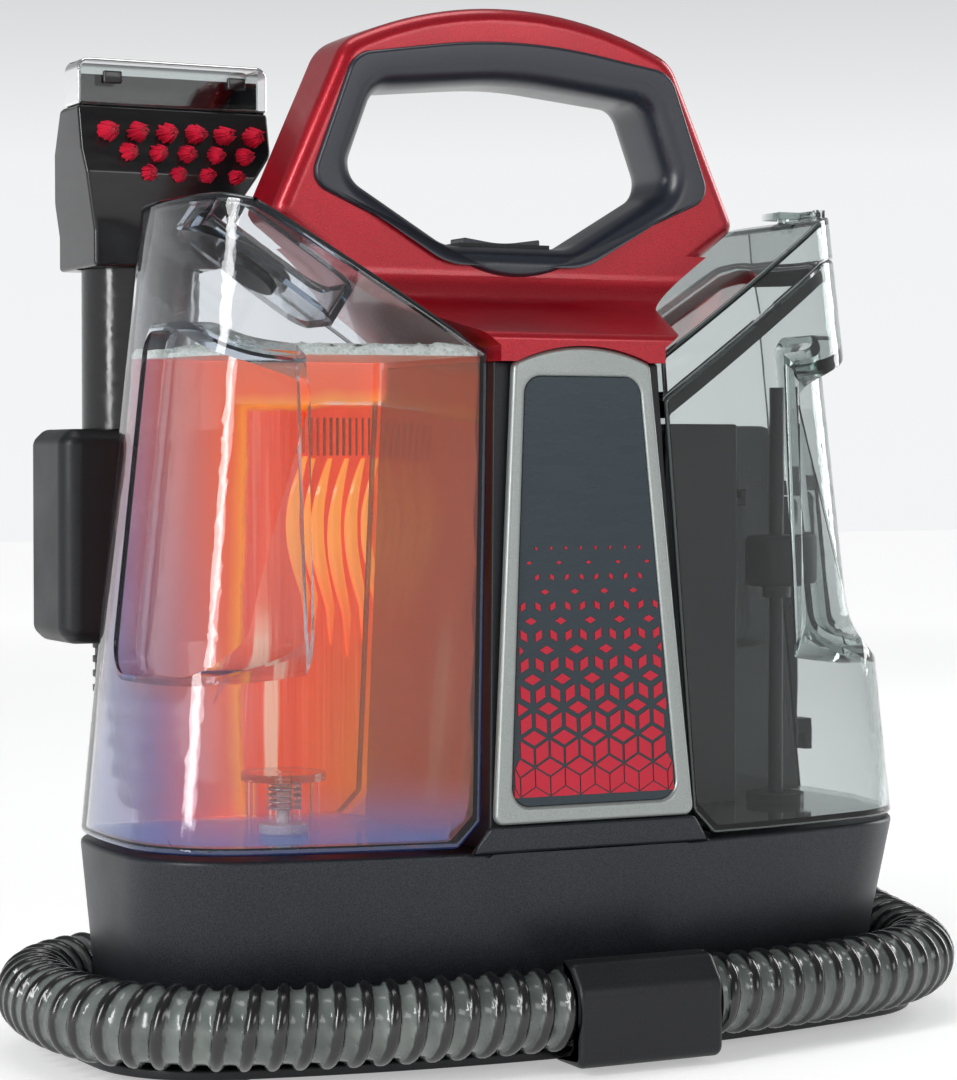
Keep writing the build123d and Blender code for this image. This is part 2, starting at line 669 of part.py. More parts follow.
def make_float_guide():
    """Post in the dirty tank on which the float rises."""
    foot = rod((FLOAT_X, FLOAT_Y, TANK_BOTTOM + WALL), (FLOAT_X, FLOAT_Y, TANK_BOTTOM + WALL + 3), 10)
    post = rod((FLOAT_X, FLOAT_Y, TANK_BOTTOM + WALL), (FLOAT_X, FLOAT_Y, POST_TOP), 2.5)
    stop = rod((FLOAT_X, FLOAT_Y, FLOAT_BOTTOM - 4), (FLOAT_X, FLOAT_Y, FLOAT_BOTTOM - GAP), 5)
    return foot + post + stop


def make_float():
    """Hollow-looking float ring that shuts the suction off when the tank is full."""
    ring = tube((FLOAT_X, FLOAT_Y, FLOAT_BOTTOM), (FLOAT_X, FLOAT_Y, FLOAT_BOTTOM + FLOAT_HEIGHT), 11, 2.8)
    return fillet(ring.edges().filter_by(GeomType.CIRCLE).group_by(SortBy.RADIUS)[-1], 2)


# ---------------------------------------------------------------- rear housing
HOUSING_LEFT = -22.0
HOUSING_RIGHT = 141.0
HOUSING_BACK = 54.0
COVER_BACK = 57.0
SHOULDER_Z = 181.0
SHOULDER_X = 131.0


def housing_outline(inset):
    points = [(HOUSING_LEFT + inset, BASE_TOP), (HOUSING_RIGHT - inset, BASE_TOP),
              (HOUSING_RIGHT - inset, SHOULDER_Z - inset), (SHOULDER_X - inset, SHOULDER_Z - inset),
              (SHOULDER_X - inset, REAR_TOP - inset), (HOUSING_LEFT + inset, REAR_TOP - inset)]
    return outline(points, [0, 0, 3, 1, 8, 3])


def make_rear_housing():
    """Black box behind the tanks, open below and at the back."""
    shell = along_y(housing_outline(0), HOUSING_FRONT, HOUSING_BACK)
    shell -= along_y(housing_outline(WALL), HOUSING_FRONT + WALL, HOUSING_BACK + 1)
    for x, z in cover_screw_places():
        post = rod((x, HOUSING_FRONT + 1, z), (x, HOUSING_BACK, z), 4)
        shell += post - rod((x, HOUSING_BACK - 10, z), (x, HOUSING_BACK + 1, z), 1.6)
    return shell


def cover_screw_places():
    return [(x, z) for x in (-14.0, 122.0) for z in (84.0, 172.0)]


GRILLE_X = 46.0
GRILLE_Z = 118.0
GRILLE_WIDTH = 70.0
GRILLE_HEIGHT = 46.0
GLAND_X = 103.0
GLAND_Z = 94.0


def make_rear_cover():
    """Back plate of the rear housing with holes for the grille, the gland and the screws."""
    plate = along_y(housing_outline(0), HOUSING_BACK, COVER_BACK)
    plate -= block(GRILLE_X - GRILLE_WIDTH / 2, GRILLE_X + GRILLE_WIDTH / 2, HOUSING_BACK - 1,
                   COVER_BACK + 1, GRILLE_Z - GRILLE_HEIGHT / 2, GRILLE_Z + GRILLE_HEIGHT / 2)
    plate -= rod((GLAND_X, HOUSING_BACK - 1, GLAND_Z), (GLAND_X, COVER_BACK + 1, GLAND_Z), 6)
    for x, z in cover_screw_places():
        plate -= rod((x, HOUSING_BACK - 1, z), (x, COVER_BACK + 1, z), 1.8)
    return plate


def make_cover_screws():
    """Four screws of the rear cover in one node."""
    screws = []
    for x, z in cover_screw_places():
        shank = rod((x, HOUSING_BACK - 9, z), (x, COVER_BACK, z), 1.55)
        head = rod((x, COVER_BACK, z), (x, COVER_BACK + 1.8, z), 3.4)
        screws.append(shank + head)
    return Compound(screws)


def make_exhaust_grille():
    """Louvred frame in the rear cover."""
    half_w = GRILLE_WIDTH / 2 - 0.05
    half_h = GRILLE_HEIGHT / 2 - 0.05
    frame = block(GRILLE_X - half_w, GRILLE_X + half_w, HOUSING_BACK, COVER_BACK, GRILLE_Z - half_h,
                  GRILLE_Z + half_h)
    count = 7
    pitch = (GRILLE_HEIGHT - 6) / count
    for i in range(count):
        z = GRILLE_Z - GRILLE_HEIGHT / 2 + 3 + i * pitch
        frame -= block(GRILLE_X - half_w + 3, GRILLE_X + half_w - 3, HOUSING_BACK - 1, COVER_BACK + 1,
                       z, z + pitch * 0.55)
    return frame


def make_cord_gland():
    """Rubber gland where the power cord would enter."""
    sleeve = tube((GLAND_X, HOUSING_BACK - 4, GLAND_Z), (GLAND_X, COVER_BACK + 4, GLAND_Z), 5.95, 3.6)
    flange = tube((GLAND_X, COVER_BACK, GLAND_Z), (GLAND_X, COVER_BACK + 1.5, GLAND_Z), 8.5, 3.6)
    return sleeve + flange


HOOK_X = 135.5
HOOK_Y = 42.0
HOOK_TIP = 152.0
HOOK_THICK = 5.5


def make_swivel_hook():
    """Upper cord hook: an arm with an upturned tip on a round hub."""
    bottom = SHOULDER_Z + GAP
    hub = rod((HOOK_X, HOOK_Y, bottom), (HOOK_X, HOOK_Y, bottom + HOOK_THICK), 4.2)
    arm = block(HOOK_X, HOOK_TIP, HOOK_Y - 4, HOOK_Y + 4, bottom, bottom + HOOK_THICK)
    tip = block(HOOK_TIP - 3, HOOK_TIP, HOOK_Y - 4, HOOK_Y + 4, bottom, bottom + 11)
    return hub + arm + tip - rod((HOOK_X, HOOK_Y, bottom - 1), (HOOK_X, HOOK_Y, bottom + 12), 2.05)


def make_hook_pin():
    return rod((HOOK_X, HOOK_Y, SHOULDER_Z), (HOOK_X, HOOK_Y, SHOULDER_Z + HOOK_THICK + 1.2), 2.0)


def make_fixed_hook():
    """Lower cord hook, moulded as an L on the side of the rear housing."""
    arm = block(HOUSING_RIGHT, HOOK_TIP, HOOK_Y - 4, HOOK_Y + 4, 92, 92 + HOOK_THICK)
    tip = block(HOOK_TIP - 3, HOOK_TIP, HOOK_Y - 4, HOOK_Y + 4, 86, 92 + HOOK_THICK)
    return arm + tip


# ---------------------------------------------------------------- heater
HEATER_X = (-84.0, -24.0)
HEATER_Y = (30.0, 49.5)
HEATER_TOP = 213.5
VENT_COUNT = 11
VENT_X = (-59.0, -33.0)
VENT_Z = (196.0, 209.0)


def make_heater_cover():
    """Red box behind the clean tank, open below, with a row of upright vent slots."""
    box = block(HEATER_X[0], HEATER_X[1], HEATER_Y[0], HEATER_Y[1], BASE_TOP, HEATER_TOP)
    box = fillet(box.edges().filter_by(Axis.Z), 4)
    box -= block(HEATER_X[0] + WALL, HEATER_X[1] - WALL, HEATER_Y[0] + WALL, HEATER_Y[1] - WALL,
                 BASE_TOP - 1, HEATER_TOP - WALL)
    pitch = (VENT_X[1] - VENT_X[0]) / VENT_COUNT
    for i in range(VENT_COUNT):
        x = VENT_X[0] + i * pitch
        box -= block(x, x + pitch * 0.55, HEATER_Y[0] - 1, HEATER_Y[0] + WALL + 1, VENT_Z[0], VENT_Z[1])
    return box


def make_heater_block():
    """Aluminium block that warms the cleaning water, standing in the heater cover."""
    body = block(-76, -32, 36, 44, 80, 180)
    return body - rod((-66, 40, 79), (-66, 40, 181), 2.55) - rod((-42, 40, 79), (-42, 40, 181), 2.55)


def make_heater_elements():
    """Two electric heating rods in the block, in one node."""
    return Compound([rod((x, 40, 82), (x, 40, 188), 2.5) for x in (-66, -42)])


def make_thermostat():
    """Small round cut-out clamped on top of the heater block."""
    return rod((-54, 40, 180), (-54, 40, 188), 5.0) + block(-58, -50, 38.5, 41.5, 188, 192)


# ---------------------------------------------------------------- fan, motor and pump
FAN_BOTTOM = 12.0
FAN_TOP = 32.0
FAN_RADIUS = 42.0
MOTOR_TOP = 62.0
SHAFT_RADIUS = 3.0


def make_fan_housing():
    """Flat drum round the impeller, with its air inlet below and the shaft hole above."""
    drum = rod((FAN_X, DUCT_Y, FAN_BOTTOM), (FAN_X, DUCT_Y, FAN_TOP), FAN_RADIUS)
    drum -= rod((FAN_X, DUCT_Y, FAN_BOTTOM + 2), (FAN_X, DUCT_Y, FAN_TOP - 2), FAN_RADIUS - 2)
    drum -= rod((FAN_X, DUCT_Y, FAN_TOP - 3), (FAN_X, DUCT_Y, FAN_TOP + 1), SHAFT_RADIUS + 1)
    drum -= rod((FAN_X, DUCT_Y, FAN_BOTTOM - 1), (FAN_X, DUCT_Y, FAN_BOTTOM + 3), 15)
    return drum


def make_impeller():
    """Disc with curved-back blades, pressed on the motor shaft."""
    disc = rod((FAN_X, DUCT_Y, FAN_BOTTOM + 4), (FAN_X, DUCT_Y, FAN_BOTTOM + 6), FAN_RADIUS - 5)
    hub = rod((FAN_X, DUCT_Y, FAN_BOTTOM + 4), (FAN_X, DUCT_Y, FAN_TOP - 4), 8)
    wheel = disc + hub
    blades = 8
    for i in range(blades):
        blade = Pos(22, 0, FAN_BOTTOM + 10) * Rot(0, 0, 25) * Box(28, 1.6, 9)
        wheel += Pos(FAN_X, DUCT_Y, 0) * Rot(0, 0, i * 360 / blades) * blade
    return wheel - rod((FAN_X, DUCT_Y, FAN_BOTTOM), (FAN_X, DUCT_Y, FAN_TOP), SHAFT_RADIUS)


def make_motor():
    """Motor can above the fan, with the bore for its shaft."""
    can = rod((FAN_X, DUCT_Y, FAN_TOP), (FAN_X, DUCT_Y, MOTOR_TOP), 26)
    return can - rod((FAN_X, DUCT_Y, FAN_TOP - 1), (FAN_X, DUCT_Y, MOTOR_TOP - 3), SHAFT_RADIUS + 0.06)


def make_motor_shaft():
    return rod((FAN_X, DUCT_Y, FAN_BOTTOM + 4), (FAN_X, DUCT_Y, MOTOR_TOP - 4), SHAFT_RADIUS)


def make_motor_mount():
    """Rubber ring between the motor can and the underside of the base shroud."""
    return tube((FAN_X, DUCT_Y, MOTOR_TOP), (FAN_X, DUCT_Y, BASE_TOP - WALL), 25, 18)


PUMP_Z = 34.0


def make_pump_body():
    """Solution pump lying along X in the left of the base."""
    body = tube((PUMP_X - 28, 8, PUMP_Z), (PUMP_X + 28, 8, PUMP_Z), 15, 6.1)
    caps = [rod((PUMP_X + s * 28, 8, PUMP_Z), (PUMP_X + s * 34, 8, PUMP_Z), 9) for s in (-1, 1)]
    stand = block(PUMP_X - 24, PUMP_X + 24, 0, 16, PAN_TOP - 3, PUMP_Z - 13)
    return body + caps[0] + caps[1] + stand


def make_pump_plunger():
    """Steel plunger that shuttles in the pump bore."""
    return rod((PUMP_X - 18, 8, PUMP_Z), (PUMP_X + 8, 8, PUMP_Z), 6.05)


def make_pump_spring():
    """Return spring at the right end of the pump bore."""
    rings = [Pos(PUMP_X + 12.5 + i * 3.4, 8, PUMP_Z) * Rot(0, 90, 0) * Torus(4.6, 0.6) for i in range(5)]
    spring = rod((PUMP_X + 12.5, 8, PUMP_Z + 4.6), (PUMP_X + 26.1, 8, PUMP_Z + 4.6), 0.45)
    for ring in rings:
        spring += ring
    return spring


def make_water_line():
    """Flexible line from the valve seat to the pump."""
    path = FilletPolyline((SEAT_X, SEAT_Y, BASE_TOP - 18), (SEAT_X, SEAT_Y, PUMP_Z),
                          (PUMP_X - 50, -22, PUMP_Z), (PUMP_X - 50, 8, PUMP_Z), (PUMP_X - 34, 8, PUMP_Z),
                          radius=[9, 9, 9])
    profile = Plane(origin=path @ 0, z_dir=path % 0) * Circle(3)
    return sweep(profile, path=path)


# ---------------------------------------------------------------- air path
PORT_INNER = 10.5
PORT_START = 38.0
PORT_REACH = 20.0


def port_volume(radius):
    """Elbow volume: out of the base towards the back, then to the left."""
    middle = (PORT_X, HOSE_BACK, HOSE_HEIGHT)
    volume = rod((PORT_X, PORT_START, HOSE_HEIGHT), middle, radius)
    volume += Pos(*middle) * Sphere(radius)
    return volume + rod(middle, (PORT_X - PORT_REACH, HOSE_BACK, HOSE_HEIGHT), radius)


def make_hose_port():
    """Elbow at the back of the base that the hose is fixed to."""
    return port_volume(PORT_RADIUS) - port_volume(PORT_INNER)


def riser_volume(inset):
    """Upright duct with a foot that reaches across to the hose port."""
    upright = block(RISER_X[0] + inset, RISER_X[1] - inset, RISER_Y[0] + inset, RISER_Y[1] - inset,
                    38 + inset, 190 - inset)
    foot = block(RISER_X[0] + inset, PORT_X - inset, RISER_Y[0] + inset, RISER_Y[1] - 2 - inset,
                 HOSE_HEIGHT + PORT_RADIUS + 0.1 + inset, 48 - inset)
    return upright + foot


def make_suction_riser():
    """Duct that leads wet air up the rear housing towards the dirty tank."""
    return riser_volume(0) - riser_volume(2)


# ---------------------------------------------------------------- wand and its holder
WAND_HALF = (20.0, 17.0)
WAND_END_RADIUS = 15.5
CRADLE_Z = (132.0, 205.0)
CRADLE_X = (-138.0, -71.0)
CRADLE_Y = (50.0, 89.5)


def wand_volume(grow):
    """Tapering oval body of the wand."""
    low = Pos(WAND_X, WAND_Y, WAND_BOTTOM + 24) * Circle(WAND_END_RADIUS + grow)
    mid = Pos(WAND_X, WAND_Y, 205) * Ellipse(WAND_HALF[0] + grow, WAND_HALF[1] + grow)
    top = Pos(WAND_X, WAND_Y, WAND_TOP) * Ellipse(WAND_HALF[0] + grow, WAND_HALF[1] + grow)
    return loft([low, mid], ruled=True) + loft([mid, top], ruled=True)


def make_wand():
    """Hollow wand body with a pocket for the trigger at its back."""
    body = wand_volume(0) - wand_volume(-2.6)
    body += block(WAND_X - 8.5, WAND_X + 8.5, WAND_Y + 2, WAND_Y + 14.0, TRIGGER_Z - 50, TRIGGER_Z + 6)
    body -= block(WAND_X - 6.5, WAND_X + 6.5, WAND_Y + 4.5, WAND_Y + 30, TRIGGER_Z - 46, TRIGGER_Z + 4)
    pin = rod((WAND_X - 8, TRIGGER_Y, TRIGGER_Z), (WAND_X + 8, TRIGGER_Y, TRIGGER_Z), 1.5)
    return body + pin


TRIGGER_Y = WAND_Y + 13.5
TRIGGER_Z = 253.5


def make_trigger():
    """Spray trigger, hinged at its upper end."""
    side = outline([(-2.2, 2.8), (-2.2, -36), (5.5, -43), (6.4, -38), (4.5, -20), (5.2, 2.8)],
                   [1.5, 3, 1.5, 3, 20, 2])
    lever = Pos(0, TRIGGER_Y, TRIGGER_Z) * along_x(side, WAND_X - 6, WAND_X + 6)
    return lever - rod((WAND_X - 9, TRIGGER_Y, TRIGGER_Z), (WAND_X + 9, TRIGGER_Y, TRIGGER_Z), 1.55)


def make_hose_cuff():
    """Ribbed cuff that joins the hose to the lower end of the wand."""
    cuff = tube((WAND_X, WAND_Y, WAND_BOTTOM), (WAND_X, WAND_Y, WAND_BOTTOM + 24), 15.5, 11.5)
    for i in range(4):
        z = WAND_BOTTOM + 3 + i * 5
        cuff += tube((WAND_X, WAND_Y, z), (WAND_X, WAND_Y, z + 2), 16.3, 12)
    return cuff


def make_wand_holder():
    """Cradle at the back left, slotted at the back, with the arm that carries it."""
    face = outline([(CRADLE_X[0], CRADLE_Y[0]), (CRADLE_X[1], CRADLE_Y[0]), (CRADLE_X[1], CRADLE_Y[1]),
                    (CRADLE_X[0], CRADLE_Y[1])], [7, 7, 7, 7])
    body = along_z(face, CRADLE_Z[0], CRADLE_Z[1])
    body = chamfer(body.edges().group_by(Axis.Z)[-1] + body.edges().group_by(Axis.Z)[0], 4)
    arm = block(CRADLE_X[1] - 10, HOUSING_LEFT, CRADLE_Y[0], COVER_BACK, 140, 198)
    body += arm
    body -= wand_volume(0.4)
    body -= rod((WAND_X, WAND_Y, CRADLE_Z[0] - 1), (WAND_X, WAND_Y, 150), WAND_END_RADIUS + 0.9)
    return body - block(WAND_X - 13, WAND_X + 13, WAND_Y, CRADLE_Y[1] + 1, CRADLE_Z[0] - 1, CRADLE_Z[1] + 1)


# ---------------------------------------------------------------- spot tool
TOOL_BOTTOM = 272.0
TOOL_TOP = 331.0
TOOL_MIDDLE = -96.0
TOOL_HALF = 34.5


def tool_front(inset):
    points = [(WAND_X - 22.5 + inset, TOOL_BOTTOM - 12), (WAND_X + 22.5 - inset, TOOL_BOTTOM - 12),
              (WAND_X + 22.5 - inset, TOOL_BOTTOM), (TOOL_MIDDLE + TOOL_HALF - inset, 300),
              (TOOL_MIDDLE + TOOL_HALF - inset, 315), (TOOL_MIDDLE - TOOL_HALF + inset, 315),
              (TOOL_MIDDLE - TOOL_HALF + inset, 300), (WAND_X - 22.5 + inset, TOOL_BOTTOM)]
    return outline(points, [0, 0, 6, 6, 0, 0, 6, 6])


def tool_side(inset):
    points = [(WAND_Y - 19.5 + inset, TOOL_BOTTOM - 12), (WAND_Y + 19.5 - inset, TOOL_BOTTOM - 12),
              (WAND_Y + 19.5 - inset, TOOL_BOTTOM + 12), (WAND_Y + 6 - inset, 315),
              (WAND_Y - 14 + inset, 315),
              (WAND_Y - 19.5 + inset, 292)]
    return outline(points, [0, 0, 8, 0, 0, 4])


def make_tool_body():
    """Flared spot tool that plugs over the wand, open at its mouth."""
    body = along_y(tool_front(0), 40, 100) & along_x(tool_side(0), -150, -50)
    hollow = along_y(tool_front(2.2), 40, 100) & along_x(tool_side(2.2), -150, -50)
    body -= hollow & block(-150, -50, 40, 100, WAND_TOP + 1.5, 320)
    return body - wand_volume(0.35)


def make_tool_window():
    """Clear nozzle lip on the mouth of the tool, with a slot right through."""
    face = outline([(TOOL_MIDDLE - TOOL_HALF, 315.05), (TOOL_MIDDLE + TOOL_HALF, 315.05),
                    (TOOL_MIDDLE + TOOL_HALF, TOOL_TOP), (TOOL_MIDDLE - TOOL_HALF, TOOL_TOP)], [0, 0, 4, 4])
    lip = along_y(face, WAND_Y - 14, WAND_Y + 1)
    slot = block(TOOL_MIDDLE - TOOL_HALF + 2.2, TOOL_MIDDLE + TOOL_HALF - 2.2, WAND_Y - 11.8, WAND_Y - 1.2,
                 310, TOOL_TOP + 1)
    return lip - slot


BRISTLE_ROWS = ((306.0, 6), (299.0, 5), (292.0, 4))
BRISTLE_PITCH = 10.5


def make_bristles():
    """Rows of bristle tufts on the front of the tool, in one node."""
    tufts = []
    for row, (z, count) in enumerate(BRISTLE_ROWS):
        for i in range(count):
            x = TOOL_MIDDLE + 1.5 + row * 1.6 + (i - (count - 1) / 2) * BRISTLE_PITCH
            tufts.append(rod((x, WAND_Y - 14.5 - 0.1 * (z - 292), z), (x, WAND_Y - 24.5, z), 3.0))
    return Compound(tufts)


def make_spray_tip():
    """Small spray nozzle under the lip at the back of the tool."""
    return rod((TOOL_MIDDLE, WAND_Y + 4, 315), (TOOL_MIDDLE, WAND_Y + 4, 322), 2.8)


# ---------------------------------------------------------------- hose
# From the port at the back, round the left end, across the front under the clip, round
# the right end, then rising along the back to the lower end of the wand.
HOSE_ROUTE = [
    (PORT_X - PORT_REACH, HOSE_BACK, HOSE_HEIGHT), (30, 74, HOSE_HEIGHT), (-40, 75, HOSE_HEIGHT),
    (-112, 67, HOSE_HEIGHT), (-145, 50, HOSE_HEIGHT), (-158, 24, HOSE_HEIGHT), (-157, -20, HOSE_HEIGHT),
    (-142, -46, HOSE_HEIGHT), (-110, -64, HOSE_HEIGHT), (-52, -73.6, HOSE_HEIGHT),
    (52, -73.6, HOSE_HEIGHT), (110, -64, HOSE_HEIGHT), (142, -46, HOSE_HEIGHT), (157, -22, HOSE_HEIGHT),
    (159, 21, 24), (152, 54, 40), (122, 78, 54), (70, 84, 60), (10, 84, 63), (-45, 81, 65),
    (-85.5, 75, 66.5), (WAND_X, WAND_Y, 85), (WAND_X, WAND_Y, WAND_BOTTOM),
]


def hose_radii(points):
    """Arc radius at each corner of the route, from its shorter run and its turn."""
    radii = []
    for before, here, after in zip(points, points[1:], points[2:]):
        run_in = Vector(*here) - Vector(*before)
        run_out = Vector(*after) - Vector(*here)
        turn = math.radians(run_in.get_angle(run_out))
        radii.append(0.45 * min(run_in.length, run_out.length) / math.tan(turn / 2))
    return radii


def make_hose():
    """Plain tube on the route of the hose, with its length and volume compared."""
    radii = hose_radii(HOSE_ROUTE)
    path = FilletPolyline(*HOSE_ROUTE, radius=radii)
    section = Plane(origin=path @ 0, z_dir=path % 0) * Circle(HOSE_DIAMETER / 2)
    tube_solid = sweep(section, path=path)
    expected = math.pi * (HOSE_DIAMETER / 2) ** 2 * path.length
    print("hose radii", [round(r, 1) for r in radii])
    print("hose length", round(path.length, 1), "volume ratio", round(tube_solid.volume / expected, 4))
    return tube_solid


# ---------------------------------------------------------------- write the parts
save(make_base_shroud(), "base_shroud")
save(make_base_pan(), "base_pan")
save(make_feet(), "rubber_feet")
save(make_hose_clip(), "hose_clip")
save(make_tower(), "front_tower")
save(make_bezel(), "front_bezel")
save(make_insert(), "front_insert")
save(make_handle_half(True), "handle_front_shell")
save(make_handle_half(False), "handle_rear_shell")
save(make_handle_screws(), "handle_screws")
save(make_grip(), "grip_ring")
save(make_switch_body(), "switch_body")
save(make_rocker(), "power_rocker")
save(make_clean_tank(), "clean_tank")
save(make_fill_cap(), "fill_cap")
save(make_outlet_valve(), "outlet_valve")
save(make_valve_cage(), "valve_cage")
save(make_valve_spring(), "valve_spring")
save(make_valve_seat(), "valve_seat")
save(make_seat_seal(), "seat_seal")
save(make_dirty_tank(), "dirty_tank")
save(make_dirty_lid(), "dirty_tank_lid")
save(make_lid_seal(), "lid_seal")
save(make_flap_hinge(), "flap_hinge")
save(make_pour_flap(), "pour_flap")
save(make_separator(), "separator_duct")
save(make_float_guide(), "float_guide")
save(make_float(), "float_ring")
save(make_rear_housing(), "rear_housing")
save(make_rear_cover(), "rear_cover")
save(make_cover_screws(), "cover_screws")
save(make_exhaust_grille(), "exhaust_grille")
save(make_cord_gland(), "cord_gland")
save(make_swivel_hook(), "swivel_cord_hook")
save(make_hook_pin(), "cord_hook_pin")
save(make_fixed_hook(), "fixed_cord_hook")
save(make_heater_cover(), "heater_cover")
save(make_heater_block(), "heater_block")
save(make_heater_elements(), "heater_elements")
save(make_thermostat(), "thermostat")
save(make_fan_housing(), "fan_housing")
save(make_impeller(), "impeller")
save(make_motor(), "motor")
save(make_motor_shaft(), "motor_shaft")
save(make_motor_mount(), "motor_mount")
save(make_pump_body(), "pump_body")
save(make_pump_plunger(), "pump_plunger")
save(make_pump_spring(), "pump_spring")
save(make_water_line(), "water_line")
save(make_hose_port(), "hose_port")
save(make_suction_riser(), "suction_riser")
save(make_wand(), "wand_body")
save(make_trigger(), "spray_trigger")
save(make_hose_cuff(), "hose_cuff")
save(make_wand_holder(), "wand_holder")
save(make_tool_body(), "spot_tool")
save(make_tool_window(), "nozzle_window")
save(make_bristles(), "bristle_tufts")
save(make_spray_tip(), "spray_tip")
save(make_hose(), "hose")
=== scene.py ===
import bmesh
import bpy
import json
import math
import random
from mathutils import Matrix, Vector


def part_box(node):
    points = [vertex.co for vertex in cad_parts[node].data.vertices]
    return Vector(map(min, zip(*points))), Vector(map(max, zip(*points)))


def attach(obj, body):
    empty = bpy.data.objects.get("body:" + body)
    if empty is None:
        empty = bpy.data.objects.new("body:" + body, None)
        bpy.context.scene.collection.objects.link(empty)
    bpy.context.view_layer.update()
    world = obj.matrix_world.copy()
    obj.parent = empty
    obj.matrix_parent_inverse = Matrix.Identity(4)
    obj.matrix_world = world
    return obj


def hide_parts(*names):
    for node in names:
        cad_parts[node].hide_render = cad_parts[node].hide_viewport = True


# Looks of the portable carpet cleaner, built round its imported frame.  Metres, +Z up.

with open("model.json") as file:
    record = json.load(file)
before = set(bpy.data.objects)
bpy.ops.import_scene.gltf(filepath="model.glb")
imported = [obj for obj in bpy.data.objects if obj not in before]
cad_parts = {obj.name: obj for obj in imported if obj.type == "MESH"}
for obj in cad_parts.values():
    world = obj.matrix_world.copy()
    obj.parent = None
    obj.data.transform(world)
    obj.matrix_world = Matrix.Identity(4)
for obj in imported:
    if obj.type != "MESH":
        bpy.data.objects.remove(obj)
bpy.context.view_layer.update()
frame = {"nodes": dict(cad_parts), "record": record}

SEED = 7
BODY_OF = {node: body for body, nodes in frame["record"]["behaviour"]["bodies"].items() for node in nodes}
SLOT_OF = {part["node"]: part["material_slot"] for part in frame["record"]["subparts"]}

HOSE_DIAMETER = 0.027
RIB_PITCH = 0.0084
HOSE_POINTS = [
    (0.084, 0.074, 0.0196), (0.030, 0.074, 0.0196), (-0.040, 0.075, 0.0196), (-0.112, 0.067, 0.0196),
    (-0.145, 0.050, 0.0196), (-0.158, 0.024, 0.0196), (-0.157, -0.020, 0.0196), (-0.142, -0.046, 0.0196),
    (-0.110, -0.064, 0.0196), (-0.052, -0.0736, 0.0196), (0.052, -0.0736, 0.0196), (0.110, -0.064, 0.0196),
    (0.142, -0.046, 0.0196), (0.157, -0.022, 0.0196), (0.159, 0.021, 0.024), (0.152, 0.054, 0.040),
    (0.122, 0.078, 0.054), (0.070, 0.084, 0.060), (0.010, 0.084, 0.063), (-0.045, 0.081, 0.065),
    (-0.0855, 0.075, 0.0665), (-0.104, 0.070, 0.085), (-0.104, 0.070, 0.1115),
]


# ---------------------------------------------------------------- camera, light and floor
CAMERA_PLACE = (-0.4504, -0.9051, 0.1940)
CAMERA_TILT_DOWN = 1.523
CAMERA_TURN = 26.1
CAMERA_LENS = 98.57
SENSOR_WIDTH = 36.0
LIGHT_TARGET = (0, 0, 0.17)
LIGHTS = (
    ("key_left", (-1.5, -0.55, 0.75), (0.30, 1.2), 17),
    ("front_fill", (0.5, -1.9, 0.9), (1.2, 0.5), 6),
    ("rim_right", (1.5, 0.3, 0.7), (0.4, 1.2), 9),
    ("top_soft", (0, 0.2, 1.7), (1.2, 0.6), 6),
)
SKY = ((0.0, 0.92), (0.10, 0.90), (0.24, 0.40), (0.55, 0.16), (1.0, 0.30))
SKY_TINT = (0.98, 0.99, 1.0)
FLOOR_HALF = 6.0


def make_camera():
    """Long lens, low in front and to the left of the machine."""
    data = bpy.data.cameras.new("camera")
    data.sensor_width = SENSOR_WIDTH
    data.lens = CAMERA_LENS
    camera = bpy.data.objects.new("camera", data)
    camera.location = CAMERA_PLACE
    camera.rotation_euler = (math.radians(90 - CAMERA_TILT_DOWN), 0, math.radians(-CAMERA_TURN))
    bpy.context.scene.collection.objects.link(camera)
    bpy.context.scene.camera = camera


def make_light(name, place, size, power):
    """White panel light that faces the machine."""
    data = bpy.data.lights.new(name, "AREA")
    data.shape = "RECTANGLE"
    data.size, data.size_y = size
    data.energy = power
    light = bpy.data.objects.new(name, data)
    light.location = place
    light.rotation_euler = (Vector(LIGHT_TARGET) - Vector(place)).to_track_quat("-Z", "Y").to_euler()
    bpy.context.scene.collection.objects.link(light)


def make_studio():
    """Four panel lights in a white room that is darker overhead."""
    for light in LIGHTS:
        make_light(*light)
    world = bpy.data.worlds.new("studio")
    world.use_nodes = True
    tree = world.node_tree
    split = tree.nodes.new("ShaderNodeSeparateXYZ")
    tree.links.new(tree.nodes.new("ShaderNodeTexCoord").outputs["Generated"], split.inputs[0])
    ramp = tree.nodes.new("ShaderNodeValToRGB")
    elements = ramp.color_ramp.elements
    while len(elements) < len(SKY):
        elements.new(0.5)
    for element, (place, level) in zip(elements, SKY):
        element.position = place
        element.color = (*(level * tint for tint in SKY_TINT), 1)
    tree.links.new(split.outputs["Z"], ramp.inputs["Fac"])
    background = tree.nodes["Background"]
    tree.links.new(ramp.outputs["Color"], background.inputs["Color"])
    bpy.context.scene.world = world
    bpy.context.scene.view_settings.view_transform = "Standard"


def make_floor(material):
    """Flat studio floor."""
    corners = [(-FLOOR_HALF, -FLOOR_HALF, 0), (FLOOR_HALF, -FLOOR_HALF, 0), (FLOOR_HALF, FLOOR_HALF, 0),
               (-FLOOR_HALF, FLOOR_HALF, 0)]
    mesh = bpy.data.meshes.new("floor")
    mesh.from_pydata(corners, [], [(0, 1, 2, 3)])
    mesh.materials.append(material)
    floor = bpy.data.objects.new("floor", mesh)
    bpy.context.scene.collection.objects.link(floor)


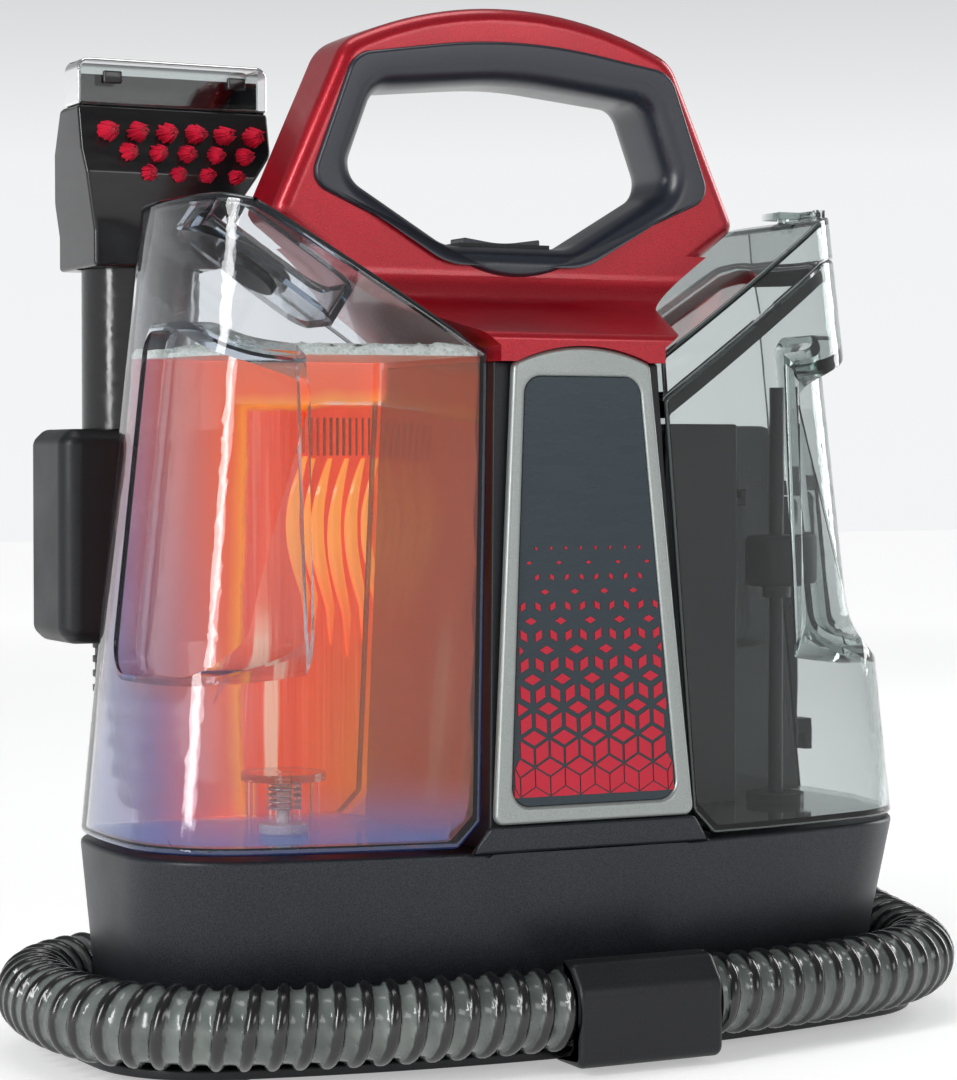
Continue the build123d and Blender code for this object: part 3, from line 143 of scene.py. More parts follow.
# ---------------------------------------------------------------- shader helpers
class Shader:
    """A Principled material with short ways to add procedural detail."""

    def __init__(self, name, **values):
        self.material = bpy.data.materials.new(name)
        self.material.use_nodes = True
        self.tree = self.material.node_tree
        self.bsdf = self.tree.nodes["Principled BSDF"]
        self.output = self.tree.nodes["Material Output"]
        self.place = self.tree.nodes.new("ShaderNodeTexCoord").outputs["Object"]
        for socket, value in values.items():
            self.bsdf.inputs[socket.replace("_", " ")].default_value = value
        self.last_normal = None

    def node(self, kind, **settings):
        made = self.tree.nodes.new(kind)
        for key, value in settings.items():
            setattr(made, key, value)
        return made

    def link(self, source, target):
        self.tree.links.new(source, target)

    def noise(self, scale, detail=3.0, stretch=None):
        texture = self.node("ShaderNodeTexNoise")
        texture.inputs["Scale"].default_value = scale
        texture.inputs["Detail"].default_value = detail
        self.link(self.stretched(stretch), texture.inputs["Vector"])
        return texture.outputs["Fac"]

    def cells(self, scale):
        texture = self.node("ShaderNodeTexVoronoi")
        texture.inputs["Scale"].default_value = scale
        self.link(self.place, texture.inputs["Vector"])
        return texture.outputs["Distance"]

    def stretched(self, stretch):
        if stretch is None:
            return self.place
        mapping = self.node("ShaderNodeMapping")
        mapping.inputs["Scale"].default_value = stretch
        self.link(self.place, mapping.inputs["Vector"])
        return mapping.outputs["Vector"]

    def axis(self, letter):
        split = self.node("ShaderNodeSeparateXYZ")
        self.link(self.place, split.inputs[0])
        return split.outputs[letter]

    def away_from(self, letter, middle):
        """How far a point is from a place on one axis."""
        return self.maths("ABSOLUTE", self.maths("SUBTRACT", self.axis(letter), middle), 0.0)

    def attribute(self, name):
        return self.node("ShaderNodeAttribute", attribute_name=name).outputs["Fac"]

    def ramp(self, source, stops):
        ramp = self.node("ShaderNodeValToRGB")
        elements = ramp.color_ramp.elements
        while len(elements) < len(stops):
            elements.new(0.5)
        for element, (place, colour) in zip(elements, stops):
            element.position = place
            element.color = (*colour, 1) if len(colour) == 3 else colour
        self.link(source, ramp.inputs["Fac"])
        return ramp.outputs["Color"]

    def span(self, source, low, high, to_low, to_high):
        remap = self.node("ShaderNodeMapRange")
        remap.inputs["From Min"].default_value = low
        remap.inputs["From Max"].default_value = high
        remap.inputs["To Min"].default_value = to_low
        remap.inputs["To Max"].default_value = to_high
        self.link(source, remap.inputs["Value"])
        return remap.outputs["Result"]

    def maths(self, operation, first, second):
        made = self.node("ShaderNodeMath", operation=operation)
        for socket, value in zip(made.inputs, (first, second)):
            if isinstance(value, (int, float)):
                socket.default_value = value
            else:
                self.link(value, socket)
        return made.outputs[0]

    def blend(self, factor, first, second):
        mix = self.node("ShaderNodeMix", data_type="RGBA")
        self.link(factor, mix.inputs[0])
        for socket, value in ((mix.inputs[6], first), (mix.inputs[7], second)):
            if isinstance(value, tuple):
                socket.default_value = (*value, 1)
            else:
                self.link(value, socket)
        return mix.outputs[2]

    def colour(self, source):
        self.link(source, self.bsdf.inputs["Base Color"])

    def glow(self, source, strength):
        self.link(source, self.bsdf.inputs["Emission Color"])
        self.bsdf.inputs["Emission Strength"].default_value = strength

    def roughness(self, source):
        self.link(source, self.bsdf.inputs["Roughness"])

    def bump(self, height, depth):
        """Raise the surface by up to depth metres."""
        bump = self.node("ShaderNodeBump")
        bump.inputs["Distance"].default_value = depth
        bump.inputs["Strength"].default_value = 1.0
        self.link(height, bump.inputs["Height"])
        if self.last_normal is not None:
            self.link(self.last_normal, bump.inputs["Normal"])
        self.link(bump.outputs["Normal"], self.bsdf.inputs["Normal"])
        self.last_normal = bump.outputs["Normal"]


def moulded(name, dark, light, rough, grain=2600.0, depth=0.00002, **values):
    """Moulded plastic or rubber: mottled colour, uneven sheen and fine spark-eroded grain."""
    shader = Shader(name, **values)
    shader.colour(shader.ramp(shader.noise(grain, 2), [(0.38, dark), (0.62, light)]))
    shader.roughness(shader.span(shader.noise(38, 4), 0.3, 0.7, rough[0], rough[1]))
    shader.bump(shader.noise(grain, 2), depth)
    return shader.material


def glossy(name, dark, light, rough, **values):
    """Smooth shiny plastic with a slow drift of colour, faint waviness and fine handling marks."""
    shader = Shader(name, **values)
    shader.colour(shader.blend(shader.noise(22, 3), dark, light))
    shader.roughness(shader.span(shader.noise(60, 5, (1, 1, 5)), 0.35, 0.75, rough[0], rough[1]))
    shader.bump(shader.noise(55, 2), 0.00006)
    return shader.material


FLOOR_FADE = (0.4, 2.6)
FLOOR_GLOW = (0.40, 0.72)


def floor_paint():
    """Matt white studio floor that grows brighter away from the object, to meet the white background."""
    shader = Shader("floor_paint", Emission_Color=(1, 1, 1, 1))
    grain = shader.noise(300, 2)
    shader.colour(shader.ramp(grain, [(0.38, (0.80, 0.80, 0.80)), (0.62, (0.84, 0.84, 0.84))]))
    shader.roughness(shader.span(shader.noise(38, 4), 0.3, 0.7, 0.8, 0.95))
    shader.bump(grain, 0.00001)
    away = shader.node("ShaderNodeVectorMath", operation="LENGTH")
    shader.link(shader.place, away.inputs[0])
    glow = shader.span(away.outputs["Value"], *FLOOR_FADE, *FLOOR_GLOW)
    shader.link(glow, shader.bsdf.inputs["Emission Strength"])
    return shader.material


def pearl_red():
    """Deep red paint-like plastic with fine metal flake below a clear top layer."""
    shader = Shader("red_pearl", Metallic=0.55, Coat_Weight=0.6, Coat_Roughness=0.16)
    flake = shader.cells(2600)
    colour = shader.ramp(flake, [(0.15, (0.66, 0.006, 0.028)), (0.6, (0.36, 0.0, 0.010))])
    drift = shader.span(shader.noise(14, 2), 0.3, 0.7, 0, 0.35)
    shader.colour(shader.blend(drift, colour, (0.24, 0.0, 0.005)))
    shader.roughness(shader.span(shader.noise(70, 4), 0.3, 0.7, 0.30, 0.40))
    shader.bump(flake, 0.00001)
    return shader.material


def silver_paint():
    """Satin grey-silver paint with fine sparkle."""
    shader = Shader("silver_paint", Metallic=0.6, Coat_Weight=0.2, Coat_Roughness=0.25)
    sparkle = shader.noise(5200, 2)
    shader.colour(shader.ramp(sparkle, [(0.35, (0.25, 0.275, 0.265)), (0.7, (0.40, 0.43, 0.415))]))
    shader.roughness(shader.span(shader.noise(45, 3), 0.3, 0.7, 0.34, 0.48))
    shader.bump(sparkle, 0.00001)
    return shader.material


CLEAR_ROUGHNESS = (0.015, 0.048)


def clear_plastic(name, tint, density, index, coat=0.7):
    """Clear moulded plastic: faint flow lines, and darker the further one looks through it."""
    shader = Shader(name, Transmission_Weight=1.0, IOR=index, Coat_Weight=coat, Coat_Roughness=0.03)
    shader.bsdf.inputs["Base Color"].default_value = (1, 1, 1, 1)
    shader.roughness(shader.span(shader.noise(30, 3, (1, 1, 0.3)), 0.3, 0.7, *CLEAR_ROUGHNESS))
    shader.bump(shader.noise(24, 2, (1, 1, 0.4)), 0.00012)
    absorption = shader.node("ShaderNodeVolumeAbsorption")
    absorption.inputs["Color"].default_value = (*tint, 1)
    absorption.inputs["Density"].default_value = density
    shader.link(absorption.outputs["Volume"], shader.output.inputs["Volume"])
    return shader.material


def tank_edge(name, low_colour, high_colour, low, high):
    """Painted dark edge of a tank: the tint its thick moulded rim gathers, with painted shade for the dark
    the rim shows by refraction; one colour below, another above.
    """
    shader = Shader(name, Coat_Weight=1.0, Coat_Roughness=0.04, Alpha=0.88)
    # painted shade: the rim's dark colour stands in for the dark seen through the thick edge by refraction
    share = shader.span(shader.axis("Z"), low, high, 0, 1)
    shader.colour(shader.blend(share, low_colour, high_colour))
    shader.roughness(shader.span(shader.noise(40, 3), 0.3, 0.7, 0.05, 0.12))
    return shader.material


def metal(name, dark, light, rough, stretch=(1, 1, 12), **values):
    """Machined metal with fine lines along one direction."""
    shader = Shader(name, Metallic=1.0, **values)
    lines = shader.noise(900, 3, stretch)
    shader.colour(shader.ramp(lines, [(0.3, dark), (0.7, light)]))
    shader.roughness(shader.span(lines, 0.3, 0.7, rough[0], rough[1]))
    shader.bump(lines, 0.00001)
    return shader.material


def hose_vinyl():
    """Clear grey vinyl webs between glossy black reinforcing ribs."""
    shader = Shader("hose_vinyl", Coat_Weight=0.5, Coat_Roughness=0.12)
    rib = shader.attribute("rib")
    web = shader.ramp(shader.noise(46, 4), [(0.3, (0.055, 0.066, 0.062)), (0.7, (0.19, 0.215, 0.20))])
    shader.colour(shader.blend(shader.span(rib, 0.25, 0.55, 0, 1), web, (0.006, 0.006, 0.007)))
    shader.roughness(shader.span(shader.noise(160, 3), 0.3, 0.7, 0.16, 0.3))
    shader.bump(shader.noise(420, 3), 0.00005)
    return shader.material


# The heater cover: its box, the block of vent slots on it, which get painted shade, and where its painted
# glow changes colour and its painted highlight streaks lie.
HEATER_LOW, HEATER_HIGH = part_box("heater_cover")
HEATER_MIDDLE = (HEATER_LOW + HEATER_HIGH) / 2
VENT_MIDDLE = (-0.046, 0.2025)
VENT_REACH = (0.0133, 0.0070)
VENT_SHADE = (0.0003, 0.0009)
ORANGE_FROM_LEFT = 0.020
ORANGE_ABOVE_MIDDLE = 0.010
ORANGE_ABOVE_BOTTOM = 0.020
HIGHLIGHT_FROM_LEFT = (0.019, 0.015)
HIGHLIGHT_FROM_MIDDLE = (0.004, -0.012)
STREAKS = (4.5, 0.2, 0.12)


def heater_glow():
    """Red translucent heater housing with a painted glow, as if lit from within, more orange low on its
    right, with painted highlight streaks low on its left and painted shade in its vent slots.
    """
    shader = Shader("heater_glow", Roughness=0.12, Coat_Weight=1.0, Coat_Roughness=0.04)
    right = shader.span(shader.axis("X"), HEATER_LOW.x + ORANGE_FROM_LEFT, HEATER_HIGH.x, 0, 1)
    down = shader.span(shader.axis("Z"), HEATER_MIDDLE.z + ORANGE_ABOVE_MIDDLE,
                       HEATER_LOW.z + ORANGE_ABOVE_BOTTOM, 0, 1)
    flow = shader.span(shader.noise(30, 3, (2.2, 1, 0.25)), 0.35, 0.65, 0, 1)
    warm = shader.maths("MULTIPLY", shader.maths("MAXIMUM", right, 0.04), down)
    red = shader.blend(flow, (0.72, 0.006, 0.002), (0.95, 0.045, 0.006))
    glow = shader.blend(warm, red, (0.72, 0.22, 0.015))
    # painted highlight: pale cream vertical streaks low on the left stand in for reflections on the
    # housing's flutes
    left = shader.span(shader.axis("X"), *(HEATER_LOW.x + reach for reach in HIGHLIGHT_FROM_LEFT), 0, 1)
    highlight_stripes = shader.span(shader.noise(70, 2, STREAKS), 0.52, 0.60, 0, 1)
    lower = shader.span(shader.axis("Z"), *(HEATER_MIDDLE.z + rise for rise in HIGHLIGHT_FROM_MIDDLE), 0.12, 0.9)
    painted_highlight = shader.maths("MULTIPLY", shader.maths("MULTIPLY", left, highlight_stripes), lower)
    glow = shader.blend(painted_highlight, glow, (1.0, 0.62, 0.46))
    # painted shade: the walls of the vent slots darken from just behind the front face, so the slots read
    # dark
    painted_vent_shade = shader.span(shader.axis("Y"), *(HEATER_LOW.y + depth for depth in VENT_SHADE), 0, 1)
    for letter, middle, reach in zip("XZ", VENT_MIDDLE, VENT_REACH):
        near = shader.maths("LESS_THAN", shader.away_from(letter, middle), reach)
        painted_vent_shade = shader.maths("MULTIPLY", painted_vent_shade, near)
    glow = shader.blend(painted_vent_shade, glow, (0.06, 0.004, 0.002))
    shader.colour(glow)
    # painted glow: the housing's colour is also emitted as light, though no lamp is inside it
    shader.glow(glow, 0.75)
    shader.bump(shader.noise(70, 2, STREAKS), 0.0012)
    return shader.material


WAVE_TIP_FADE = (0.078, 0.045)


def heat_wave():
    """Glowing relief rib, yellow-orange in its middle and fading to red at its lower tip."""
    shader = Shader("heat_wave", Roughness=0.2, Coat_Weight=0.6, Coat_Roughness=0.08)
    fade = shader.span(shader.axis("Z"), *(HEATER_HIGH.z - drop for drop in WAVE_TIP_FADE), 0, 1)
    drift = shader.noise(60, 3, (1, 1, 0.3))
    colour = shader.blend(fade, (0.90, 0.07, 0.008), (1.0, 0.30, 0.03))
    colour = shader.blend(shader.span(drift, 0.35, 0.7, 0, 0.35), colour, (1.0, 0.45, 0.10))
    shader.colour(colour)
    shader.glow(colour, 0.85)
    return shader.material


# The water: where its back begins, how far the heater's halo reaches, and where its colour turns cool.
WATER_BACK = (0.012, 0.022)
HALO_WIDTH = 0.050
HALO_WANDER = 0.003
HALO_EDGE = (-0.002, 0.0005)
HALO_FADE = (0.010, 0.055)
COOL_LEFT = (-0.134, -0.104)
COOL_BOTTOM = (0.075, 0.094)


def warm_water():
    """Water with a painted glow from the heater: a glowing halo painted on the side next to it, faint blue
    towards the walls.
    """
    shader = Shader("warm_water", Roughness=0.05, IOR=1.33, Specular_IOR_Level=0.15)
    half = (HEATER_HIGH.x - HEATER_LOW.x) / 2
    sideways = shader.away_from("X", HEATER_MIDDLE.x)
    above = shader.maths("SUBTRACT", shader.axis("Z"), HEATER_HIGH.z)
    off = shader.maths("MAXIMUM", shader.maths("SUBTRACT", sideways, half), above)
    behind = shader.span(shader.axis("Y"), *WATER_BACK, 0, 1)
    drift = shader.noise(24, 3, (1, 1, 0.25))
    distance = shader.maths("ADD", off, shader.span(drift, 0.3, 0.7, -HALO_WANDER, HALO_WANDER))
    halo = shader.ramp(shader.span(distance, 0.0, HALO_WIDTH, 0, 1),
                       [(0.0, (1.0, 0.36, 0.03)), (0.10, (0.90, 0.13, 0.03)), (0.45, (0.72, 0.16, 0.08)),
                        (1.0, (0.30, 0.24, 0.28))])
    near_left = shader.span(shader.axis("X"), *COOL_LEFT, 1.0, 0.0)
    near_bottom = shader.span(shader.axis("Z"), *COOL_BOTTOM, 1.0, 0.0)
    cool = shader.maths("MAXIMUM", near_left, near_bottom)
    front_tint = shader.blend(cool, (0.80, 0.17, 0.05), (0.08, 0.15, 0.42))
    tint = shader.blend(behind, front_tint, halo)
    shader.colour(tint)
    # painted glow: the water's tint is emitted as light, the orange halo strongest beside the heater
    shader.glow(tint, 0.42)
    inside = shader.span(distance, *HALO_EDGE, 0.06, 0.92)
    faded = shader.span(distance, *HALO_FADE, 1.0, 0.55)
    back_alpha = shader.maths("MULTIPLY", inside, faded)
    front_alpha = shader.span(cool, 0, 1, 0.13, 0.42)
    back_share = shader.maths("MULTIPLY", behind, back_alpha)
    front_share = shader.maths("MULTIPLY", shader.maths("SUBTRACT", 1.0, behind), front_alpha)
    shader.link(shader.maths("ADD", back_share, front_share), shader.bsdf.inputs["Alpha"])
    shader.bump(shader.noise(18, 2), 0.0003)
    return shader.material


def foam():
    """Pale bubbles with a green tinge."""
    shader = Shader("foam", Roughness=0.5, Alpha=0.85)
    bubbles = shader.cells(700)
    shader.colour(shader.ramp(bubbles, [(0.1, (0.62, 0.78, 0.66)), (0.5, (0.92, 0.96, 0.90))]))
    shader.bump(bubbles, 0.0006)
    return shader.material


MATERIALS = {
    "charcoal_plastic": moulded("charcoal_plastic", (0.008, 0.010, 0.013), (0.028, 0.032, 0.040),
                                (0.34, 0.44), Metallic=0.35),
    "black_plastic": moulded("black_plastic", (0.006, 0.0065, 0.008), (0.014, 0.015, 0.017), (0.34, 0.46),
                             Specular_IOR_Level=0.32),
    "black_gloss": glossy("black_gloss", (0.004, 0.004, 0.005), (0.010, 0.010, 0.011), (0.14, 0.24)),
    "rubber": moulded("rubber", (0.008, 0.008, 0.008), (0.022, 0.022, 0.022), (0.6, 0.8), 1800, 0.00004),
    "silver_trim": silver_paint(),
    "insert_panel": glossy("insert_panel", (0.010, 0.023, 0.032), (0.016, 0.031, 0.041), (0.24, 0.34)),
    "red_shell": pearl_red(),
    "soft_grip": moulded("soft_grip", (0.010, 0.013, 0.021), (0.018, 0.022, 0.034), (0.26, 0.36),
                         3200, 0.00001, Coat_Weight=0.25, Coat_Roughness=0.35),
    "steel": metal("steel", (0.32, 0.32, 0.33), (0.62, 0.62, 0.62), (0.22, 0.4)),
    "clear_plastic": clear_plastic("clear_plastic", (0.36, 0.46, 0.58), 60, 1.12),
    "smoke_plastic": clear_plastic("smoke_plastic", (0.30, 0.40, 0.385), 135, 1.22, coat=0.35),
    "window_plastic": clear_plastic("window_plastic", (0.42, 0.55, 0.54), 60, 1.46, coat=1.0),
    "clear_edge": tank_edge("clear_edge", (0.012, 0.028, 0.10), (0.006, 0.009, 0.012), 0.10, 0.235),
    "smoke_edge": tank_edge("smoke_edge", (0.030, 0.042, 0.040), (0.055, 0.075, 0.072), 0.10, 0.26),
    "white_plastic": moulded("white_plastic", (0.62, 0.62, 0.58), (0.78, 0.78, 0.75), (0.4, 0.55),
                             1500, 0.00003),
    "heater_red": heater_glow(),
    "heat_wave": heat_wave(),
    "aluminium": metal("aluminium", (0.55, 0.56, 0.57), (0.82, 0.82, 0.82), (0.3, 0.45), (12, 1, 1)),
    "tubing": glossy("tubing", (0.45, 0.47, 0.47), (0.62, 0.64, 0.64), (0.25, 0.4)),
    "bristle_red": glossy("bristle_red", (0.42, 0.004, 0.016), (0.78, 0.02, 0.07), (0.3, 0.45)),
    "hose_vinyl": hose_vinyl(),
    "tile_red": glossy("tile_red", (0.42, 0.0, 0.018), (0.56, 0.0, 0.026), (0.2, 0.3)),
    "warm_water": warm_water(),
    "foam": foam(),
}


# ---------------------------------------------------------------- mesh helpers
# Angles in degrees, then the holes, recess and vents whose thin edges aren't rounded.
CREASE_ANGLE = 38.0
BEVEL_ANGLE = 34.0
FLAT_ANGLE = 0.3
SAME_POINT = 0.00002
IN_PLANE = 0.00003
HOLE_REACHES = (("fill_cap", 0.017), ("outlet_valve", 0.010))
HOLES = [(sum(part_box(node), Vector()) / 2, reach) for node, reach in HOLE_REACHES]
RECESS_X = 0.070
RECESS_Z = (0.112, 0.248)
RECESS_BACK = 0.022
VENT_MARGIN = 0.0015


def new_piece(name, vertices, faces, material, body, slot=None, smooth=True, replaces=()):
    """Make one mesh piece that rides on a body."""
    mesh = bpy.data.meshes.new(name)
    mesh.from_pydata([tuple(v) for v in vertices], [], faces)
    mesh.materials.append(MATERIALS[material])
    mesh.validate()
    if smooth:
        mesh.shade_smooth()
        mesh.set_sharp_from_angle(angle=math.radians(CREASE_ANGLE))
    piece = bpy.data.objects.new(name, mesh)
    bpy.context.scene.collection.objects.link(piece)
    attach(piece, body)
    slot or material
    if replaces:
        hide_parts(*replaces)
    return piece


def stacked_piece(name, stacks, material, body, slot=None, replaces=()):
    """Make one mesh piece from closed solids, each a stack of rings with equal numbers of points."""
    vertices, faces = [], []
    for rings in stacks:
        first = len(vertices)
        count = len(rings[0])
        last = first + (len(rings) - 1) * count
        for ring in rings:
            vertices.extend(ring)
        for lower in range(first, last, count):
            upper = lower + count
            for i in range(count):
                k = (i + 1) % count
                faces.append((lower + i, lower + k, upper + k, upper + i))
        faces.append(tuple(reversed(range(first, first + count))))
        faces.append(tuple(range(last, last + count)))
    return new_piece(name, vertices, faces, material, body, slot, replaces=replaces)


def applied(piece):
    """Apply all modifiers of a piece to its mesh."""
    evaluated = piece.evaluated_get(bpy.context.evaluated_depsgraph_get())
    finished = bpy.data.meshes.new_from_object(evaluated)
    piece.modifiers.clear()
    piece.data = finished
    return piece


def in_finger_recess(place):
    """Whether a point lies at the finger recess in a tank's outer side, away from the tank's outline."""
    return abs(place.x) > RECESS_X and RECESS_Z[0] < place.z < RECESS_Z[1] and place.y < RECESS_BACK


def off_thin_walls(place):
    """Whether a point of the clean tank is away from its two holes and its finger recess."""
    return not in_finger_recess(place) and all((place - middle).length > reach for middle, reach in HOLES)


def off_vents(place):
    """Whether a point of the heater cover is away from its vents, whose bars are thin."""
    return abs(place.z - VENT_MIDDLE[1]) > VENT_REACH[1] + VENT_MARGIN


def rounded(node, width, material=None, segments=3, edge_material=None, where=None):
    """Stand-in for a CAD node with the same shape, its outer edges rounded, or only those where says.

    A width of 0 rounds nothing, for a node whose CAD shape has its roundings already.
    """
    work = bmesh.new()
    work.from_mesh(frame["nodes"][node].data)
    bmesh.ops.remove_doubles(work, verts=work.verts, dist=SAME_POINT)
    bmesh.ops.dissolve_limit(work, angle_limit=math.radians(FLAT_ANGLE), verts=work.verts, edges=work.edges)
    sharp = []
    for edge in work.edges if width else ():
        if edge.is_manifold and edge.is_convex and edge.calc_face_angle(0) > math.radians(BEVEL_ANGLE):
            if where is None or all(where(v.co) for v in edge.verts):
                sharp.append(edge)
    bmesh.ops.bevel(work, geom=sharp, offset=width, offset_type="OFFSET", segments=segments, profile=0.5,
                    affect="EDGES", clamp_overlap=False, miter_outer="ARC",
                    material=1 if edge_material else -1)
    bmesh.ops.recalc_face_normals(work, faces=work.faces)
    vertices = [tuple(v.co) for v in work.verts]
    work.verts.index_update()
    faces = [[v.index for v in face.verts] for face in work.faces]
    on_edge = [face.material_index == 1 and not in_finger_recess(face.calc_center_median())
               for face in work.faces]
    work.free()
    material = material or SLOT_OF[node]
    piece = new_piece(node + "_finished", vertices, faces, material, BODY_OF[node], SLOT_OF[node],
                      replaces=(node,))
    if edge_material:
        piece.data.materials.append(MATERIALS[edge_material])
        piece.data.polygons.foreach_set("material_index", on_edge)
    weighted = piece.modifiers.new("weighted", "WEIGHTED_NORMAL")
    weighted.keep_sharp = True
    return applied(piece)


def face_loops(node, axis, value):
    """Closed edge loops of a node's flat face in the plane where the given axis has that value."""
    work = bmesh.new()
    work.from_mesh(frame["nodes"][node].data)
    bmesh.ops.remove_doubles(work, verts=work.verts, dist=SAME_POINT)
    flat = {v for v in work.verts if abs(v.co[axis] - value) < IN_PLANE}
    rim = {}
    for edge in work.edges:
        if edge.verts[0] in flat and edge.verts[1] in flat:
            inside = [all(v in flat for v in face.verts) for face in edge.link_faces]
            if inside.count(True) == 1:
                for here, there in (edge.verts, reversed(edge.verts)):
                    rim.setdefault(here, []).append(there)
    loops = []
    while rim:
        start = next(iter(rim))
        loop = [start]
        came_from, here = None, start
        while True:
            ahead = [v for v in rim.pop(here, []) if v is not came_from and (v in rim or v is start)]
            if not ahead or ahead[0] is start:
                break
            came_from, here = here, ahead[0]
            loop.append(here)
        loops.append([v.co.copy() for v in loop])
    work.free()
    return sorted(loops, key=loop_area, reverse=True)


def loop_area(loop):
    """Area enclosed by a flat closed loop, whatever its plane."""
    total = Vector((0, 0, 0))
    for here, ahead in zip(loop, loop[1:] + loop[:1]):
        total += here.cross(ahead)
    return total.length / 2


def sampled_by_angle(loop, centre, count):
    """A loop in an upright plane, sampled at even angles round a centre inside it."""
    ends = loop[1:] + loop[:1]
    segments = [(here.xz, ahead.xz) for here, ahead in zip(loop, ends)]
    sampled = []
    for i in range(count):
        angle = math.tau * i / count
        direction = Vector((math.cos(angle), math.sin(angle)))
        place = centre + direction * nearest_wall(segments, centre, direction)
        sampled.append(Vector((place.x, loop[0].y, place.y)))
    return sampled


def shifted_loop(loop, amount):
    """A loop in an upright plane moved inward by amount, or outward where amount is negative."""
    moved = []
    for before, here, ahead in zip(loop[-1:] + loop[:-1], loop, loop[1:] + loop[:1]):
        along = (ahead - before).normalized()
        moved.append(here + Vector((-along.z, 0, along.x)) * amount)
    return moved


def rounded_ring(name, loops, depth, roundings, material, body, replaces, steps):
    """Ring between an outer and an inner loop of its front face, each with its own edge rounding."""
    vertices, faces, firsts = [], [], []
    count = len(loops[0])
    for loop, inward, (width, rise) in zip(loops, (1, -1), roundings):
        profile = []
        for i in range(steps + 1):
            angle = math.pi / 2 * i / steps
            profile.append((width * (1 - math.sin(angle)), rise * (1 - math.cos(angle))))
        profile += [(inset, depth - drop) for inset, drop in reversed(profile)]
        first = len(vertices)
        firsts.append(first)
        for inset, drop in profile:
            vertices.extend(p + Vector((0, drop, 0)) for p in shifted_loop(loop, inset * inward))
        for r in range(len(profile) - 1):
            for i in range(count):
                k = (i + 1) % count
                a, b = first + r * count, first + (r + 1) * count
                faces.append((a + i, a + k, b + k, b + i))
    last = (2 * steps + 1) * count
    for shift in (0, last):
        for i in range(count):
            k = (i + 1) % count
            a, b = firsts[0] + shift, firsts[1] + shift
            faces.append((a + i, a + k, b + k, b + i))
    piece = new_piece(name, vertices, faces, material, body, replaces=replaces)
    work = bmesh.new()
    work.from_mesh(piece.data)
    bmesh.ops.recalc_face_normals(work, faces=work.faces)
    work.to_mesh(piece.data)
    work.free()
    return piece


def nurbs_line(name, points, resolution=24):
    """Points along the smooth curve whose control points are given."""
    curve = bpy.data.curves.new(name, "CURVE")
    curve.dimensions = "3D"
    spline = curve.splines.new("NURBS")
    spline.points.add(len(points) - 1)
    for point, place in zip(spline.points, points):
        point.co = (*place, 1)
    spline.order_u = 3
    spline.use_endpoint_u = True
    spline.resolution_u = resolution
    holder = bpy.data.objects.new(name, curve)
    bpy.context.scene.collection.objects.link(holder)
    mesh = bpy.data.meshes.new_from_object(holder.evaluated_get(bpy.context.evaluated_depsgraph_get()))
    line = [v.co.copy() for v in mesh.vertices]
    bpy.data.objects.remove(holder)
    bpy.data.curves.remove(curve)
    return line


def even_line(line, step):
    """The same line with points a fixed step apart."""
    lengths = [0.0]
    for before, after in zip(line, line[1:]):
        lengths.append(lengths[-1] + (after - before).length)
    count = int(lengths[-1] / step)
    out = []
    index = 0
    for i in range(count + 1):
        target = lengths[-1] * i / count
        while index < len(line) - 2 and lengths[index + 1] < target:
            index += 1
        span = lengths[index + 1] - lengths[index]
        share = (target - lengths[index]) / span if span > 0 else 0
        out.append(line[index].lerp(line[index + 1], min(1.0, max(0.0, share))))
    return out


def carried_frames(line):
    """Tangent and two side directions at each point, turned as little as possible."""
    frames = []
    side = Vector((0, 0, 1))
    for i in range(len(line)):
        along = line[min(i + 1, len(line) - 1)] - line[max(i - 1, 0)]
        tangent = along.normalized()
        side = (side - tangent * side.dot(tangent)).normalized()
        frames.append((tangent, side, tangent.cross(side)))
    return frames


# ---------------------------------------------------------------- hose
RIB_HALF = 0.25
RIB_DEPTH = 0.0019
WEB_SAG = 0.0003
HOSE_SIDES = 40
RINGS_PER_PITCH = 12


def rib_height(phase):
    """0 in the web and 1 on top of the rib, along one pitch of the helix."""
    distance = abs(phase - 0.5) / RIB_HALF
    return math.sqrt(1 - distance * distance) if distance < 1 else 0.0


def make_hose():
    """Ribbed vinyl hose on its wrapped route."""
    line = even_line(nurbs_line("hose_line", HOSE_POINTS), RIB_PITCH / RINGS_PER_PITCH)
    rings, ribs = [], []
    for i, (here, (_, side, cross)) in enumerate(zip(line, carried_frames(line))):
        ring = []
        for j in range(HOSE_SIDES):
            angle = math.tau * j / HOSE_SIDES
            phase = (i / RINGS_PER_PITCH + j / HOSE_SIDES) % 1.0
            height = rib_height(phase)
            sag = WEB_SAG * math.cos(math.tau * phase) * (height == 0)
            radius = HOSE_DIAMETER / 2 - RIB_DEPTH * (1 - height) - sag
            ring.append(here + (side * math.cos(angle) + cross * math.sin(angle)) * radius)
            ribs.append(height)
        rings.append(ring)
    hose = stacked_piece("ribbed_hose", [rings], "hose_vinyl", "root", replaces=("hose",))
    attribute = hose.data.attributes.new("rib", "FLOAT", "POINT")
    attribute.data.foreach_set("value", ribs)


# ---------------------------------------------------------------- front panel pattern
FACES_FRONT = -0.9


def front_plane(node):
    """Centre, right and up directions and outward normal of a node's front face."""
    mesh = frame["nodes"][node].data
    front = max((p for p in mesh.polygons if p.normal.y < FACES_FRONT), key=lambda p: p.area)
    normal = front.normal.normalized()
    low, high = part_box(node)
    up = Vector((0, -normal.z, normal.y)) * (1 if normal.y > 0 else -1)
    point = mesh.vertices[front.vertices[0]].co.copy()
    middle_z = (low.z + high.z) / 2
    rise = (middle_z - point.z) / up.z
    centre = point + up * rise
    centre.x = 0
    return centre, Vector((1, 0, 0)), up.normalized(), normal


